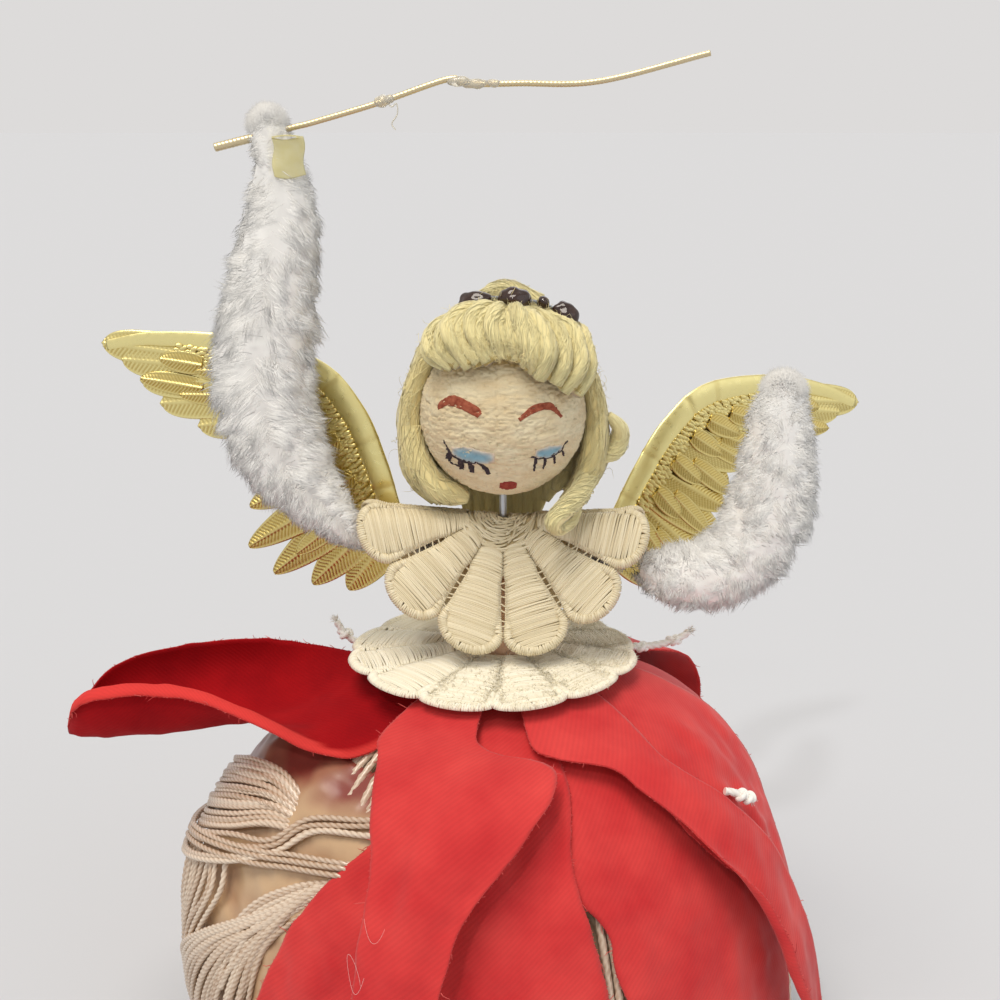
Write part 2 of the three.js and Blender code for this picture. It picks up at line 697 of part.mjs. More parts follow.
// Wing drawn flat: out along its span, up, and relief towards the front
const wingPoint = (out, up, relief) => at(out, -relief, up);
const WING_EDGE = new THREE.SplineCurve([
  [0, 0], [7.8, 9], [13, 22], [19, 33.5], [29, 42.5], [48, 46], [WING_SPAN - 11, 45], [WING_SPAN, 42],
].map(([out, up]) => new THREE.Vector2(out, up)));
const WING_BASES = new THREE.QuadraticBezierCurve(
  new THREE.Vector2(WING_SPAN - 37, 40), new THREE.Vector2(18, 33), new THREE.Vector2(8, 2));

// A leaf-shaped feather, flat behind, that rises from its edges to a midrib
function feather(base, angle, length, width, edge, rise, rows) {
  const way = new THREE.Vector2(Math.cos(angle * DEG), Math.sin(angle * DEG));
  return skin(Array.from({ length: rows + 1 }, (_, i) => {
    const along = (i / rows) * length;
    const half = (width / 2) * Math.max(0.3, Math.sin(Math.PI * (0.2 + (0.74 * i) / rows)) ** 0.6);
    return [[-1, 0], [1, 0], [1, edge], [0, edge + rise], [-1, edge]].map(([across, relief]) => {
      const side = across * half;
      return wingPoint(base.x + way.x * along - way.y * side, base.y + way.y * along + way.x * side, relief);
    });
  }));
}

// The way each quill points, from the one at the tip at 0 round to the one at the root at 1
const quillAngle = (part) => lerp(2, -72, part ** 0.85);

// Quills fan from the tip round to the root, each lapped over the next
function quills() {
  const [OUTER, INNER] = [37, 16];
  const WIDTH = 8.4;
  const LAP = 0.12;
  const MIDRIB = 0.8;
  return Array.from({ length: WING_FEATHERS }, (_, i) => {
    const part = i / (WING_FEATHERS - 1);
    const length = lerp(OUTER, INNER, part);
    return feather(WING_BASES.getPoint(part), quillAngle(part), length, WIDTH, WING_T + LAP * (i % 3), MIDRIB, 3);
  });
}

// Two rows of short feathers that cover the quills' roots
function coverts() {
  const ROWS = [{ count: 6, inset: 9.5, length: 10, lift: 0.9 }, { count: 7, inset: 4.5, length: 9, lift: 1.3 }];
  const WIDTH = 6;
  const MIDRIB = 0.7;
  const SPREAD = 6; // degrees that they lean up from the quills
  return ROWS.flatMap(({ count, inset, length, lift }) => Array.from({ length: count }, (_, i) => {
    const part = lerp(0.16, 0.74, i / (count - 1));
    const edge = WING_EDGE.getPoint(part);
    const way = WING_EDGE.getTangent(part);
    const base = edge.add(new THREE.Vector2(way.y, -way.x).multiplyScalar(inset));
    return feather(base, quillAngle(1 - part) + SPREAD, length, WIDTH, WING_T + lift, MIDRIB, 2);
  }));
}

// The smooth rounded band along the leading edge
function wingBand() {
  const STEPS = 10;
  const [ROOT_W, TIP_W] = [5.8, 2.2];
  const THICK = 1.9;
  const rings = Array.from({ length: STEPS + 1 }, (_, i) => {
    const part = i / STEPS;
    const edge = WING_EDGE.getPoint(part);
    const way = WING_EDGE.getTangent(part);
    const width = lerp(ROOT_W, TIP_W, part);
    return [[0, 0], [0.12, 0.8], [0.5, 1], [0.88, 0.8], [1, 0]].map(([share, high]) => {
      const inset = share * width;
      return wingPoint(edge.x + way.y * inset, edge.y - way.x * inset, high * THICK);
    });
  });
  return skin(rings);
}

// The flat foil under the feathers, from the leading edge to the quills' roots
function wingField() {
  const EDGE_STEPS = 14;
  const BASE_STEPS = 6;
  const INSET = 0.6;
  const [OUTER, INNER] = [12, 6]; // how far it reaches under the quills
  const shape = new THREE.Shape(WING_EDGE.getPoints(EDGE_STEPS).map((point, i) => {
    const way = WING_EDGE.getTangent(i / EDGE_STEPS);
    return new THREE.Vector2(point.x + way.y * INSET, point.y - way.x * INSET);
  }));
  for (let i = 0; i <= BASE_STEPS; i++) {
    const part = i / BASE_STEPS;
    const base = WING_BASES.getPoint(part);
    const angle = quillAngle(part) * DEG;
    const reach = lerp(OUTER, INNER, part);
    shape.lineTo(base.x + reach * Math.cos(angle), base.y + reach * Math.sin(angle));
  }
  return new THREE.ExtrudeGeometry(shape, { depth: WING_T, bevelEnabled: false }).rotateX(90 * DEG);
}

const wing = join([wingField(), wingBand(), ...quills(), ...coverts()]);
const strapDown = LACE_R - STRAP_UP;
const strapZ = collarZ - collarHang(strapDown, COLLAR_BACK).down;
const strapFront = collarHang(strapDown, COLLAR_BACK).out + LACE_T + GAP;

// The plain strip that joins the wings behind the collar, with rounded corners
function wingStrap() {
  const CORNER = 3;
  const half = STRAP_W / 2;
  const shape = new THREE.Shape()
    .moveTo(-half + CORNER, 0).lineTo(half - CORNER, 0).quadraticCurveTo(half, 0, half, CORNER)
    .lineTo(half, STRAP_H - CORNER).quadraticCurveTo(half, STRAP_H, half - CORNER, STRAP_H)
    .lineTo(-half + CORNER, STRAP_H).quadraticCurveTo(-half, STRAP_H, -half, STRAP_H - CORNER)
    .lineTo(-half, CORNER).quadraticCurveTo(-half, 0, -half + CORNER, 0);
  return new THREE.ExtrudeGeometry(shape, { depth: STRAP_T, bevelEnabled: false, curveSegments: 4 })
    .rotateX(90 * DEG)
    .translate(0, strapFront + STRAP_T, strapZ);
}

const finish = (color, roughness, metalness = 0) => ({ color, roughness, metalness });
const CARD = finish(0xb9a284, 0.9);
const RAYON = finish(0xe6d8c0, 0.45);
const RED_COTTON = finish(0xc8242a, 0.85);
const PEACH_FELT = finish(0xe0b48e, 0.9);
const STEEL = finish(0x8d9096, 0.35, 1);
const LACE = finish(0xe8dcc0, 0.8);
const CHENILLE = finish(0xe8e8ea, 0.95);
const SPUN_COTTON = finish(0xe3cdb0, 0.9);
const WOOL = finish(0xe9dd93, 0.9);
const BROWN_GLASS = finish(0x3a2620, 0.1);
const GOLD_FOIL = finish(0xc9b45a, 0.3, 1);
const GOLD_THREAD = finish(0xc8b48a, 0.35, 1);
const OLD_PAPER = finish(0xd8cf95, 0.7);

const angel = new THREE.Group();

function add(name, geometry, material, parent = angel) {
  const mesh = new THREE.Mesh(geometry, new THREE.MeshStandardMaterial(material));
  mesh.name = name;
  parent.add(mesh);
}

add('skirt_form', skirtForm(), CARD);
add('skirt_cord', skirtCord(), RAYON);

const PETALS = {
  under_petal_front_right: { turn: [-8, -46], width: 21, layer: 0, tipUp: 14 },
  under_petal_front: { turn: [0, 4], width: 30, layer: 1, tipUp: 10 },
  under_petal_front_left: { turn: [38, 38], width: 30, layer: 0, tipUp: 14 },
  under_petal_left: { turn: [80, 88], width: 36, layer: 1, tipUp: 22 },
  under_petal_back_left: { turn: [128, 132], width: 38, layer: 0, tipUp: 16 },
  under_petal_back: { turn: [178, 182], width: 38, layer: 1, tipUp: 18 },
  under_petal_back_right: { turn: [-134, -130], width: 38, layer: 0, tipUp: 20 },
  petal_left: { turn: [50, 76], width: 38, layer: 2, tipUp: 46, stand: 2, cup: 0.8 },
  petal_front_left: { turn: [26, 64], width: 24, layer: 3, tipUp: 14, stand: 4, folds: 1, fold: 0.4 },
  petal_front_right: { turn: [-10, -18], width: 36, layer: 4, tipUp: 16, stand: 6.5, folds: 1, fold: 0.8 },
  petal_back_left: { turn: [148, 148], width: 40, layer: 3, tipUp: 30, stand: 4, fold: 0.8 },
  petal_back_right: { turn: [-170, -158], width: 40, layer: 2, tipUp: 28, stand: 2, fold: 0.5 },
};
for (const [name, cut] of Object.entries(PETALS)) add(name, skirtPetal(cut), RED_COTTON);
add('petal_right_curled', curledPetal(), RED_COTTON);

const { layer: sideLayer, stand: sideStand, cup: sideCup } = PETALS.petal_left;
const sideRise = cordRise(0, 90) + CORD_D + PETAL_SLACK + sideLayer * PETAL_LAYER + sideStand + sideCup
  + PETAL_T + 2 * GAP;
add('cord_end_right', cordEnd(-104, curledRootZ + PETAL_T + GAP + CORD_D / 2), RAYON);
add('cord_end_side', cordEndSide(78, BELL_LENGTH - 60, sideRise), RAYON);
add('cord_end_left', cordEnd(103, curledRootZ + PETAL_T + GAP + CORD_D / 2), RAYON);

add('torso', torso(), PEACH_FELT);
add('spine_wire', spineWire(), STEEL);
add('peplum', peplum(), LACE);
add('collar', collar(), LACE);
add('shoulder_stem', rod(stemLine(), STEM_D, { sides: 8, steps: 12 }), CHENILLE);
add('raised_arm', cut(arm(RAISED_ARM, shoulderRight), [wand(GAP)]), CHENILLE);
add('low_arm', arm(LOW_ARM, shoulderLeft), CHENILLE);
add('wand', wand(), GOLD_THREAD);
add('wand_tab', wandTab(), OLD_PAPER);

add('head_ball', headBall(), SPUN_COTTON);
add('hair_back', hairBack(), WOOL);
add('hair_fringe', hairFringe(), WOOL);
add('hair_top_knot', hairTopKnot(), WOOL);
add('tiara_wire', tiaraWire(), STEEL);
for (const name of Object.keys(BEADS)) add(name, cut(bead(name), [tiaraWire(GAP)]), BROWN_GLASS);

add('wing_strap', wingStrap(), GOLD_FOIL);
for (const [name, side, sweep, drop] of [
  ['wing_right', -1, WING_RIGHT_SWEEP, 0],
  ['wing_left', 1, WING_LEFT_SWEEP, WING_LEFT_DROP],
]) {
  const root = new THREE.Group();
  root.position.set(side * (STRAP_W / 2 + GAP), strapFront + STRAP_T, strapZ + WING_ROOT_UP);
  root.rotation.z = side * sweep * DEG;
  const droop = new THREE.Group();
  droop.rotation.y = side * drop * DEG;
  root.add(droop);
  add(name, side < 0 ? mirrored(wing) : wing, GOLD_FOIL, droop);
  angel.add(root);
}

export default angel;
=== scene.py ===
"""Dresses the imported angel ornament.

A spun-cotton head with a wool wig and a bead tiara, guipure lace at neck and waist, chenille arms with a
foil-wire wand, stamped brass-foil wings, and a skirt of red cotton petals over looped rayon cord on card.
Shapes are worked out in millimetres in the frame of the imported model: +Z up, facing -Y, the angel's left +X.
"""
import logging
import math
from dataclasses import dataclass, field
from enum import Enum

import bpy
import numpy as np
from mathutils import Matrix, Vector


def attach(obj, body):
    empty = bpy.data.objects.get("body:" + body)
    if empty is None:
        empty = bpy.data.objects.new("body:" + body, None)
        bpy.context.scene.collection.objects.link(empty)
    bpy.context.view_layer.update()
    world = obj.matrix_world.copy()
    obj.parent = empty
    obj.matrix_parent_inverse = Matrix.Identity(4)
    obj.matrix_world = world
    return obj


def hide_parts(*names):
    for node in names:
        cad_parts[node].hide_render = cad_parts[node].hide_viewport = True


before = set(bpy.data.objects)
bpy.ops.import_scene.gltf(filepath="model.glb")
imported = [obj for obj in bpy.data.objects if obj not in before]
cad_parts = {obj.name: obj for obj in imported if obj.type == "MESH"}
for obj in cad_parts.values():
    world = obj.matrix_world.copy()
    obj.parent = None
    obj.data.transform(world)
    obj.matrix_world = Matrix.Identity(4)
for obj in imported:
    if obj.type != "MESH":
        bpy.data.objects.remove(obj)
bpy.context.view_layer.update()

Array = np.ndarray
MM = 0.001
log = logging.getLogger("angel")


class Body(Enum):
    """The moving bodies that a piece can ride on."""

    SKIRT = "body"
    HEAD = "head"
    RAISED_ARM = "raised_arm"
    LOW_ARM = "low_arm"
    WAND = "wand"


class Slot(Enum):
    """The record's material slots."""

    CARD = "card"
    CORD = "rayon_cord"
    COTTON = "red_cotton"
    FELT = "peach_felt"
    STEEL = "steel_wire"
    LACE = "cream_lace"
    CHENILLE = "white_chenille"
    WAND = "gold_wire"
    PAPER = "old_paper"
    HEAD = "spun_cotton"
    WOOL = "wool_yarn"
    GLASS = "brown_glass"
    FOIL = "gold_foil"


def unit(vectors: Array) -> Array:
    """Vectors at length one."""
    return vectors / np.maximum(np.linalg.norm(vectors, axis=-1, keepdims=True), 1e-9)


def smoothstep(value: Array, low: float, high: float) -> Array:
    """A soft step from 0 at low to 1 at high."""
    part = np.clip((np.asarray(value, float) - low) / (high - low), 0, 1)
    return part * part * (3 - 2 * part)


def mix(start: Array, end: Array, part: Array) -> Array:
    """The value a part of the way from start to end."""
    return start + (end - start) * part


def spline(knots: Array, count: int) -> Array:
    """A smooth line through knots.

    Args:
        knots: One row of numbers for each knot.
        count: How many points the line gets.

    Returns:
        The points, one row each.
    """
    knots = np.asarray(knots, float)
    held = np.concatenate([2 * knots[:1] - knots[1:2], knots, 2 * knots[-1:] - knots[-2:-1]])
    place = np.linspace(0, len(knots) - 1, count)
    first = np.minimum(place.astype(int), len(knots) - 2)
    t = (place - first)[:, None]
    a, b, c, d = (held[first + step] for step in range(4))
    bend = (2 * a - 5 * b + 4 * c - d) * t**2 + (3 * b - a - 3 * c + d) * t**3
    return 0.5 * (2 * b + (c - a) * t + bend)


def xyz(x: Array, y: Array, z: Array) -> Array:
    """Points from their three coordinates, which spread over each other's shapes."""
    return np.stack(np.broadcast_arrays(x, y, z), -1)


def around_z(radius: Array, angle: Array, z: Array) -> Array:
    """Points round the upright axis, at an angle in radians from the front towards +X."""
    return xyz(radius * np.sin(angle), -radius * np.cos(angle), z)


def circle(count: int) -> Array:
    """Angles spread evenly round a full turn, in radians."""
    return np.linspace(0, 2 * np.pi, count, endpoint=False)


def heading(angle: Array) -> Array:
    """The flat direction at an angle in degrees."""
    return np.stack([np.cos(np.radians(angle)), np.sin(np.radians(angle))], -1)


def beside(way: Array) -> Array:
    """The flat direction at the right hand of a way."""
    return np.stack([way[..., 1], -way[..., 0]], -1)


def run_along(path: Array) -> Array:
    """The distance along a line at each of its points."""
    return np.concatenate([[0], np.cumsum(np.linalg.norm(np.diff(path, axis=0), axis=1))])


def hairs(foot: Array, way: Array, reach: Array, share: Array) -> Array:
    """Straight hairs.

    Args:
        foot: Where each starts.
        way: The direction of each.
        reach: The length of each.
        share: The parts of the length at which its points lie.

    Returns:
        Points as (hair, point, 3).
    """
    return foot[:, None] + way[:, None] * (reach[:, None] * share)[..., None]


def even(path: Array, count: int) -> Array:
    """Spreads a line's points evenly along its length.

    Args:
        path: The line, one row for each point.
        count: How many points it gets.

    Returns:
        The same line with its new points.
    """
    run = run_along(path)
    places = np.linspace(0, run[-1], count)
    return np.stack([np.interp(places, run, path[:, axis]) for axis in range(path.shape[1])], -1)


def grain(points: Array, size: float, seed: int) -> Array:
    """Smooth random values over space.

    Args:
        points: Places in millimetres, with three numbers in the last axis.
        size: How far apart the lumps lie, in millimetres.
        seed: Which of the patterns to use.

    Returns:
        A value from -1 to 1 for each place.
    """
    cell = points / size + seed * 7.31
    base = np.floor(cell).astype(np.int64)
    part = cell - base
    part = part * part * (3 - 2 * part)
    total = np.zeros(points.shape[:-1])
    for corner in np.ndindex(2, 2, 2):
        key = base + corner
        mixed = (key[..., 0] * 73856093) ^ (key[..., 1] * 19349663) ^ (key[..., 2] * 83492791)
        mixed = mixed ^ (seed * 40503)
        mixed = ((mixed ^ (mixed >> 13)) * 1274126177) & 0x7FFFFFFF
        value = ((mixed ^ (mixed >> 16)) & 0xFFFF) / 32767.5 - 1
        total += value * np.prod(np.where(np.array(corner, bool), part, 1 - part), axis=-1)
    return total


def frames(paths: Array) -> tuple[Array, Array, Array]:
    """Directions along each path, carried on without twist.

    Args:
        paths: Points as (path, point, 3).

    Returns:
        The way forward, and two directions across it.
    """
    way = unit(np.gradient(paths, axis=1))
    carried = np.where(np.abs(way[:, 0, 2:]) < 0.9, (0.0, 0.0, 1.0), (1.0, 0.0, 0.0))
    across = np.empty_like(paths)
    for i in range(paths.shape[1]):
        carried = unit(carried - np.sum(carried * way[:, i], -1, keepdims=True) * way[:, i])
        across[:, i] = carried
    return way, across, np.cross(way, across)


def normals(grid: Array) -> Array:
    """The direction square to a grid of points at each of them."""
    return unit(np.cross(np.gradient(grid, axis=0), np.gradient(grid, axis=1)))


class MeshBag:
    """Collects closed bodies, in millimetres, and makes one mesh of them."""

    def __init__(self) -> None:
        """Starts with nothing in it."""
        self.points: list[Array] = []
        self.faces: list[tuple[Array, bool, int]] = []
        self.tones: list[Array] = []
        self.flats: list[Array] = []
        self.count = 0

    def add(self, points: Array, faces: list[tuple[Array, bool]], tone: Array | float = 0.5,
            flat: Array | None = None, slot: int = 0) -> None:
        """Adds one lot of points with its faces.

        Args:
            points: Places, with three numbers in the last axis.
            faces: Index arrays, each with whether its faces are smooth.
            tone: A shade number for each point, for the material.
            flat: Each point's place on the uncut cloth, in millimetres, or the way its pile faces.
            slot: Which of the piece's finishes the faces take.
        """
        points = points.reshape(-1, 3)
        self.points.append(points)
        self.tones.append(np.broadcast_to(np.asarray(tone, float).reshape(-1), (len(points),)))
        self.flats.append(np.zeros_like(points) if flat is None else flat.reshape(-1, 3))
        self.faces += [(block + self.count, smooth, slot) for block, smooth in faces]
        self.count += len(points)

    def tubes(self, paths: Array, radii: Array | float, sides: int = 6, pointed: bool = False,
              tone: Array | float = 0.5, slot: int = 0, facing: Array | None = None) -> None:
        """Adds a round stem along each path.

        Args:
            paths: Points as (path, point, 3).
            radii: One radius, or one for each point, or one for each point and side.
            sides: Corners of the section.
            pointed: Whether each stem runs out to a point.
            tone: One shade, or one for each path, or each point of it, or each point and side.
            slot: Which finish it takes.
            facing: The way that the pile round each point faces, if not the stem's own sides.
        """
        n, k, _ = paths.shape
        _, across, up = frames(paths)
        angle = circle(sides)
        ring = np.cos(angle)[:, None] * across[:, :, None] + np.sin(angle)[:, None] * up[:, :, None]
        radii = np.asarray(radii, float)
        wide = radii if radii.ndim == 3 else np.broadcast_to(radii, (n, k))[..., None]
        points = paths[:, :, None] + wide[..., None] * ring
        tone = np.asarray(tone, float)
        shade = tone if tone.ndim == 3 else (tone if tone.ndim == 2 else tone.reshape(-1, 1))[..., None]
        shade = np.broadcast_to(shade, (n, k, sides))
        rings = k - 1 if pointed else k
        base = (np.arange(n) * rings * sides)[:, None, None]
        row = (np.arange(rings - 1) * sides)[None, :, None]
        j = np.arange(sides)
        a = base + row + j
        b = base + row + (j + 1) % sides
        faces = [(np.stack([a, b, b + sides, a + sides], -1).reshape(-1, 4), True)]
        faces.append((base[:, 0] + j[::-1], False))
        last = base[:, 0] + (rings - 1) * sides
        body = points[:, :rings].reshape(-1, 3)
        faced = np.broadcast_to(ring if facing is None else facing[:, :, None], points.shape)
        sides_faced = faced[:, :rings].reshape(-1, 3)
        shades = shade[:, :rings].reshape(-1)
        if pointed:
            tip = np.broadcast_to(n * rings * sides + np.arange(n)[:, None], (n, sides))
            faces.append((np.stack([last + j, last + (j + 1) % sides, tip], -1).reshape(-1, 3), True))
            body = np.concatenate([body, paths[:, -1]])
            shades = np.concatenate([shades, shade[:, -1, 0]])
            sides_faced = np.concatenate([sides_faced, faced[:, -1, 0]])
        else:
            faces.append((last + j, False))
        self.add(body, faces, shades, sides_faced, slot)

    def slab(self, lower: Array, upper: Array, around: bool = False, tone: Array | float = 0.5,
             flat: Array | None = None, slot: int = 0) -> None:
        """Adds a closed sheet between two grids of points.

        Args:
            lower: The underside as (row, column, 3).
            upper: The upper side, of the same shape.
            around: Whether the last column joins the first.
            tone: A shade for each grid point.
            flat: Each grid point's place on the flat cloth.
            slot: Which finish it takes.
        """
        rows, columns = lower.shape[:2]
        spans = columns if around else columns - 1
        place = np.arange(rows * columns).reshape(rows, columns)
        low = np.concatenate([place, place[:, :1]], 1) if around else place
        high = low + rows * columns

        def quads(a: Array, b: Array, c: Array, d: Array) -> Array:
            """Faces with these four corners."""
            return np.stack([a, b, c, d], -1).reshape(-1, 4)

        top = quads(high[:-1, :spans], high[1:, :spans], high[1:, 1:], high[:-1, 1:])
        under = quads(low[:-1, :spans], low[:-1, 1:], low[1:, 1:], low[1:, :spans])
        sides = [
            quads(low[0, :spans], high[0, :spans], high[0, 1:], low[0, 1:]),
            quads(low[-1, 1:], high[-1, 1:], high[-1, :spans], low[-1, :spans]),
        ]
        if not around:
            sides.append(quads(low[1:, 0], high[1:, 0], high[:-1, 0], low[:-1, 0]))
            sides.append(quads(low[:-1, -1], high[:-1, -1], high[1:, -1], low[1:, -1]))
        blocks = [(top, True), (under, True), (np.concatenate(sides), False)]
        if np.sum(normals(lower) * (upper - lower)) < 0:
            blocks = [(block[:, ::-1], smooth) for block, smooth in blocks]
        shade = np.broadcast_to(np.asarray(tone, float), (rows, columns))
        cloth = None if flat is None else np.concatenate([flat.reshape(-1, 3)] * 2)
        self.add(np.concatenate([lower.reshape(-1, 3), upper.reshape(-1, 3)]), blocks,
                 np.concatenate([shade.reshape(-1)] * 2), cloth, slot)

    def skin(self, rings: Array, looped: bool = False, tone: Array | float = 0.5, slot: int = 0,
             facing: Array | None = None) -> None:
        """Adds a skin over rings of points.

        Args:
            rings: Points as (ring, corner, 3).
            looped: Whether the last ring joins the first; otherwise both ends are closed.
            tone: One shade, or one for each ring and corner.
            slot: Which finish it takes.
            facing: The way that the pile on each point faces.
        """
        k, sides = rings.shape[:2]
        place = np.arange(k * sides).reshape(k, sides)
        if looped:
            place = np.concatenate([place, place[:1]])
        turned = np.roll(place, -1, axis=1)
        quads = np.stack([place[:-1], turned[:-1], turned[1:], place[1:]], -1).reshape(-1, 4)
        blocks = [(quads, True)]
        if not looped:
            blocks += [(place[:1, ::-1], True), (place[-1:], True)]
        corners = rings.reshape(-1, 3)[quads]
        middle = rings.reshape(-1, 3).mean(0)
        outward = np.cross(corners[:, 2] - corners[:, 0], corners[:, 3] - corners[:, 1])
        if np.sum(outward * (corners.mean(1) - middle)) < 0:
            blocks = [(block[:, ::-1], smooth) for block, smooth in blocks]
        self.add(rings, blocks, np.broadcast_to(np.asarray(tone, float), (k, sides)), facing, slot)

    def build(self, name: str, *finishes: "Finish") -> bpy.types.Object:
        """Makes the Blender object.

        Args:
            name: The piece's name.
            finishes: Its finishes, in the order of their slots.

        Returns:
            The object, in metres.
        """
        mesh = bpy.data.meshes.new(name)
        points = np.concatenate(self.points)
        mesh.vertices.add(len(points))
        mesh.vertices.foreach_set("co", (points * MM).astype(np.float32).ravel())
        sizes = np.concatenate([np.full(len(block), block.shape[1]) for block, _, _ in self.faces])
        loops = np.concatenate([block.ravel() for block, _, _ in self.faces])
        mesh.loops.add(len(loops))
        mesh.loops.foreach_set("vertex_index", loops.astype(np.int32))
        mesh.polygons.add(len(sizes))
        starts = np.concatenate([[0], np.cumsum(sizes)[:-1]])
        mesh.polygons.foreach_set("loop_start", starts.astype(np.int32))
        smooth = np.concatenate([np.full(len(block), flag) for block, flag, _ in self.faces])
        slots = np.concatenate([np.full(len(block), slot) for block, _, slot in self.faces])
        for finish in finishes:
            mesh.materials.append(finish.material())
        mesh.polygons.foreach_set("use_smooth", smooth)
        mesh.polygons.foreach_set("material_index", slots.astype(np.int32))
        mesh.update(calc_edges=True)
        tone = mesh.attributes.new("tone", "FLOAT", "POINT")
        tone.data.foreach_set("value", np.concatenate(self.tones).astype(np.float32))
        flat = mesh.attributes.new("flat", "FLOAT_VECTOR", "POINT")
        flat.data.foreach_set("vector", np.concatenate(self.flats).astype(np.float32).ravel())
        made = bpy.data.objects.new(name, mesh)
        bpy.context.scene.collection.objects.link(made)
        return made


def place(piece: bpy.types.Object, body: Body, slot: Slot, *nodes: str) -> bpy.types.Object:
    """Sets a piece on its body, in place of its CAD nodes.

    Args:
        piece: The piece, already where it belongs.
        body: What it moves with.
        slot: The record's finish for it; not used.
        nodes: The CAD nodes that it stands for.

    Returns:
        The same piece.
    """
    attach(piece, body.value)
    if nodes:
        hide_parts(*nodes)
    log.info("%s: %d faces on %s", piece.name, len(piece.data.polygons), body.value)
    return piece


def linear(colour: str) -> tuple[float, float, float, float]:
    """Turns an sRGB hex value to linear.

    Args:
        colour: A value such as #E0403C.

    Returns:
        Linear red, green and blue, and a full alpha.
    """
    parts = [int(colour[i:i + 2], 16) / 255 for i in (1, 3, 5)]
    red, green, blue = (c / 12.92 if c <= 0.04045 else ((c + 0.055) / 1.055) ** 2.4 for c in parts)
    return red, green, blue, 1.0


def add_node(tree: bpy.types.NodeTree, kind: str, settings: dict | None = None,
             links: dict | None = None) -> bpy.types.Node:
    """Adds a node.

    Args:
        tree: The material's nodes.
        kind: The node's type, without the ShaderNode that all of them start with.
        settings: Values by attribute name, input name or input number.
        links: The output that feeds each input, by name or number.

    Returns:
        The node.
    """
    node = tree.nodes.new(f"ShaderNode{kind}")
    for key, value in (settings or {}).items():
        if isinstance(key, str) and hasattr(node, key):
            setattr(node, key, value)
        else:
            node.inputs[key].default_value = value
    for key, output in (links or {}).items():
        tree.links.new(output, node.inputs[key])
    return node


# A diagonal wave texture repeats at this distance when its scale is 1
WAVE_REPEAT = 0.444


def per_mm(size: float) -> float:
    """The texture scale, in metres, at which one repeat has this size in millimetres."""
    return 1000 / size


@dataclass(frozen=True)
class Finish:
    """A surface, by its colour and gloss, with a second colour that its shade number runs towards."""

    name: str
    colour: str
    second: str
    roughness: float = 0.6
    metallic: float = 0.0
    sheen: float = 0.0
    specular: float = 0.5

    def material(self) -> bpy.types.Material:
        """Makes the material the first time that it is asked for.

        Returns:
            The Blender material.
        """
        found = bpy.data.materials.get(self.name)
        if found:
            return found
        made = bpy.data.materials.new(self.name)
        made.use_nodes = True
        made.diffuse_color = linear(self.colour)
        shader = made.node_tree.nodes["Principled BSDF"]
        settings = {"Base Color": linear(self.colour), "Roughness": self.roughness, "Metallic": self.metallic,
                    "Sheen Weight": self.sheen, "Specular IOR Level": self.specular}
        for key, value in settings.items():
            shader.inputs[key].default_value = value
        self.wire(made.node_tree, shader)
        return made

    def ends(self) -> dict:
        """A colour mix's settings, from the first colour to the second."""
        return {"data_type": "RGBA", 6: linear(self.colour), 7: linear(self.second)}

    def wire(self, tree: bpy.types.NodeTree, shader: bpy.types.Node) -> None:
        """Runs the colour from the first to the second along the shade number.

        Args:
            tree: The material's nodes.
            shader: Its shader node.
        """
        tone = add_node(tree, "Attribute", {"attribute_name": "tone"})
        colour = add_node(tree, "Mix", self.ends(), {0: tone.outputs["Fac"]})
        tree.links.new(colour.outputs[2], shader.inputs["Base Color"])


@dataclass(frozen=True)
class Nap(Finish):
    """Pile or wool, whose fibres pass light on to each other, so that it shades as one soft body."""

    soft: float = 2.0

    def wire(self, tree: bpy.types.NodeTree, shader: bpy.types.Node) -> None:
        """Runs the colours along the shade number and leans each fibre's normal to the way its pile faces.

        Args:
            tree: The material's nodes.
            shader: Its shader node.
        """
        super().wire(tree, shader)
        facing = add_node(tree, "Attribute", {"attribute_name": "flat"})
        turned = add_node(tree, "VectorTransform",
                          {"vector_type": "NORMAL", "convert_from": "OBJECT", "convert_to": "WORLD"},
                          {0: facing.outputs["Vector"]})
        shape = add_node(tree, "NewGeometry")
        both = add_node(tree, "VectorMath", {"operation": "MULTIPLY_ADD", 1: (self.soft,) * 3},
                        {0: turned.outputs[0], 2: shape.outputs["Normal"]})
        normal = add_node(tree, "VectorMath", {"operation": "NORMALIZE"}, {0: both.outputs[0]})
        tree.links.new(normal.outputs[0], shader.inputs["Normal"])


@dataclass(frozen=True)
class Mottled(Finish):
    """A surface whose two colours lie in soft patches, with a fine tooth."""

    patch: float = 6.0
    tooth: float = 0.5
    depth: float = 0.04
    squash: float = 1.0

    def wire(self, tree: bpy.types.NodeTree, shader: bpy.types.Node) -> None:
        """Adds the patches and the tooth.

        Args:
            tree: The material's nodes.
            shader: Its shader node.
        """
        place_on = add_node(tree, "TexCoord")
        spread = add_node(tree, "Mapping", {"Scale": (1, 1, self.squash)},
                          {"Vector": place_on.outputs["Object"]})
        patches = add_node(tree, "TexNoise", {"Scale": per_mm(self.patch), "Detail": 3.0},
                           {"Vector": spread.outputs[0]})
        share = add_node(tree, "MapRange", {"From Min": 0.35, "From Max": 0.65},
                         {"Value": patches.outputs[0]})
        colour = add_node(tree, "Mix", self.ends(), {0: share.outputs[0]})
        tooth = add_node(tree, "TexNoise", {"Scale": per_mm(self.tooth), "Detail": 4.0},
                         {"Vector": spread.outputs[0]})
        bump = add_node(tree, "Bump", {"Strength": 0.7, "Distance": self.depth * MM},
                        {"Height": tooth.outputs[0]})
        tree.links.new(colour.outputs[2], shader.inputs["Base Color"])
        tree.links.new(bump.outputs[0], shader.inputs["Normal"])


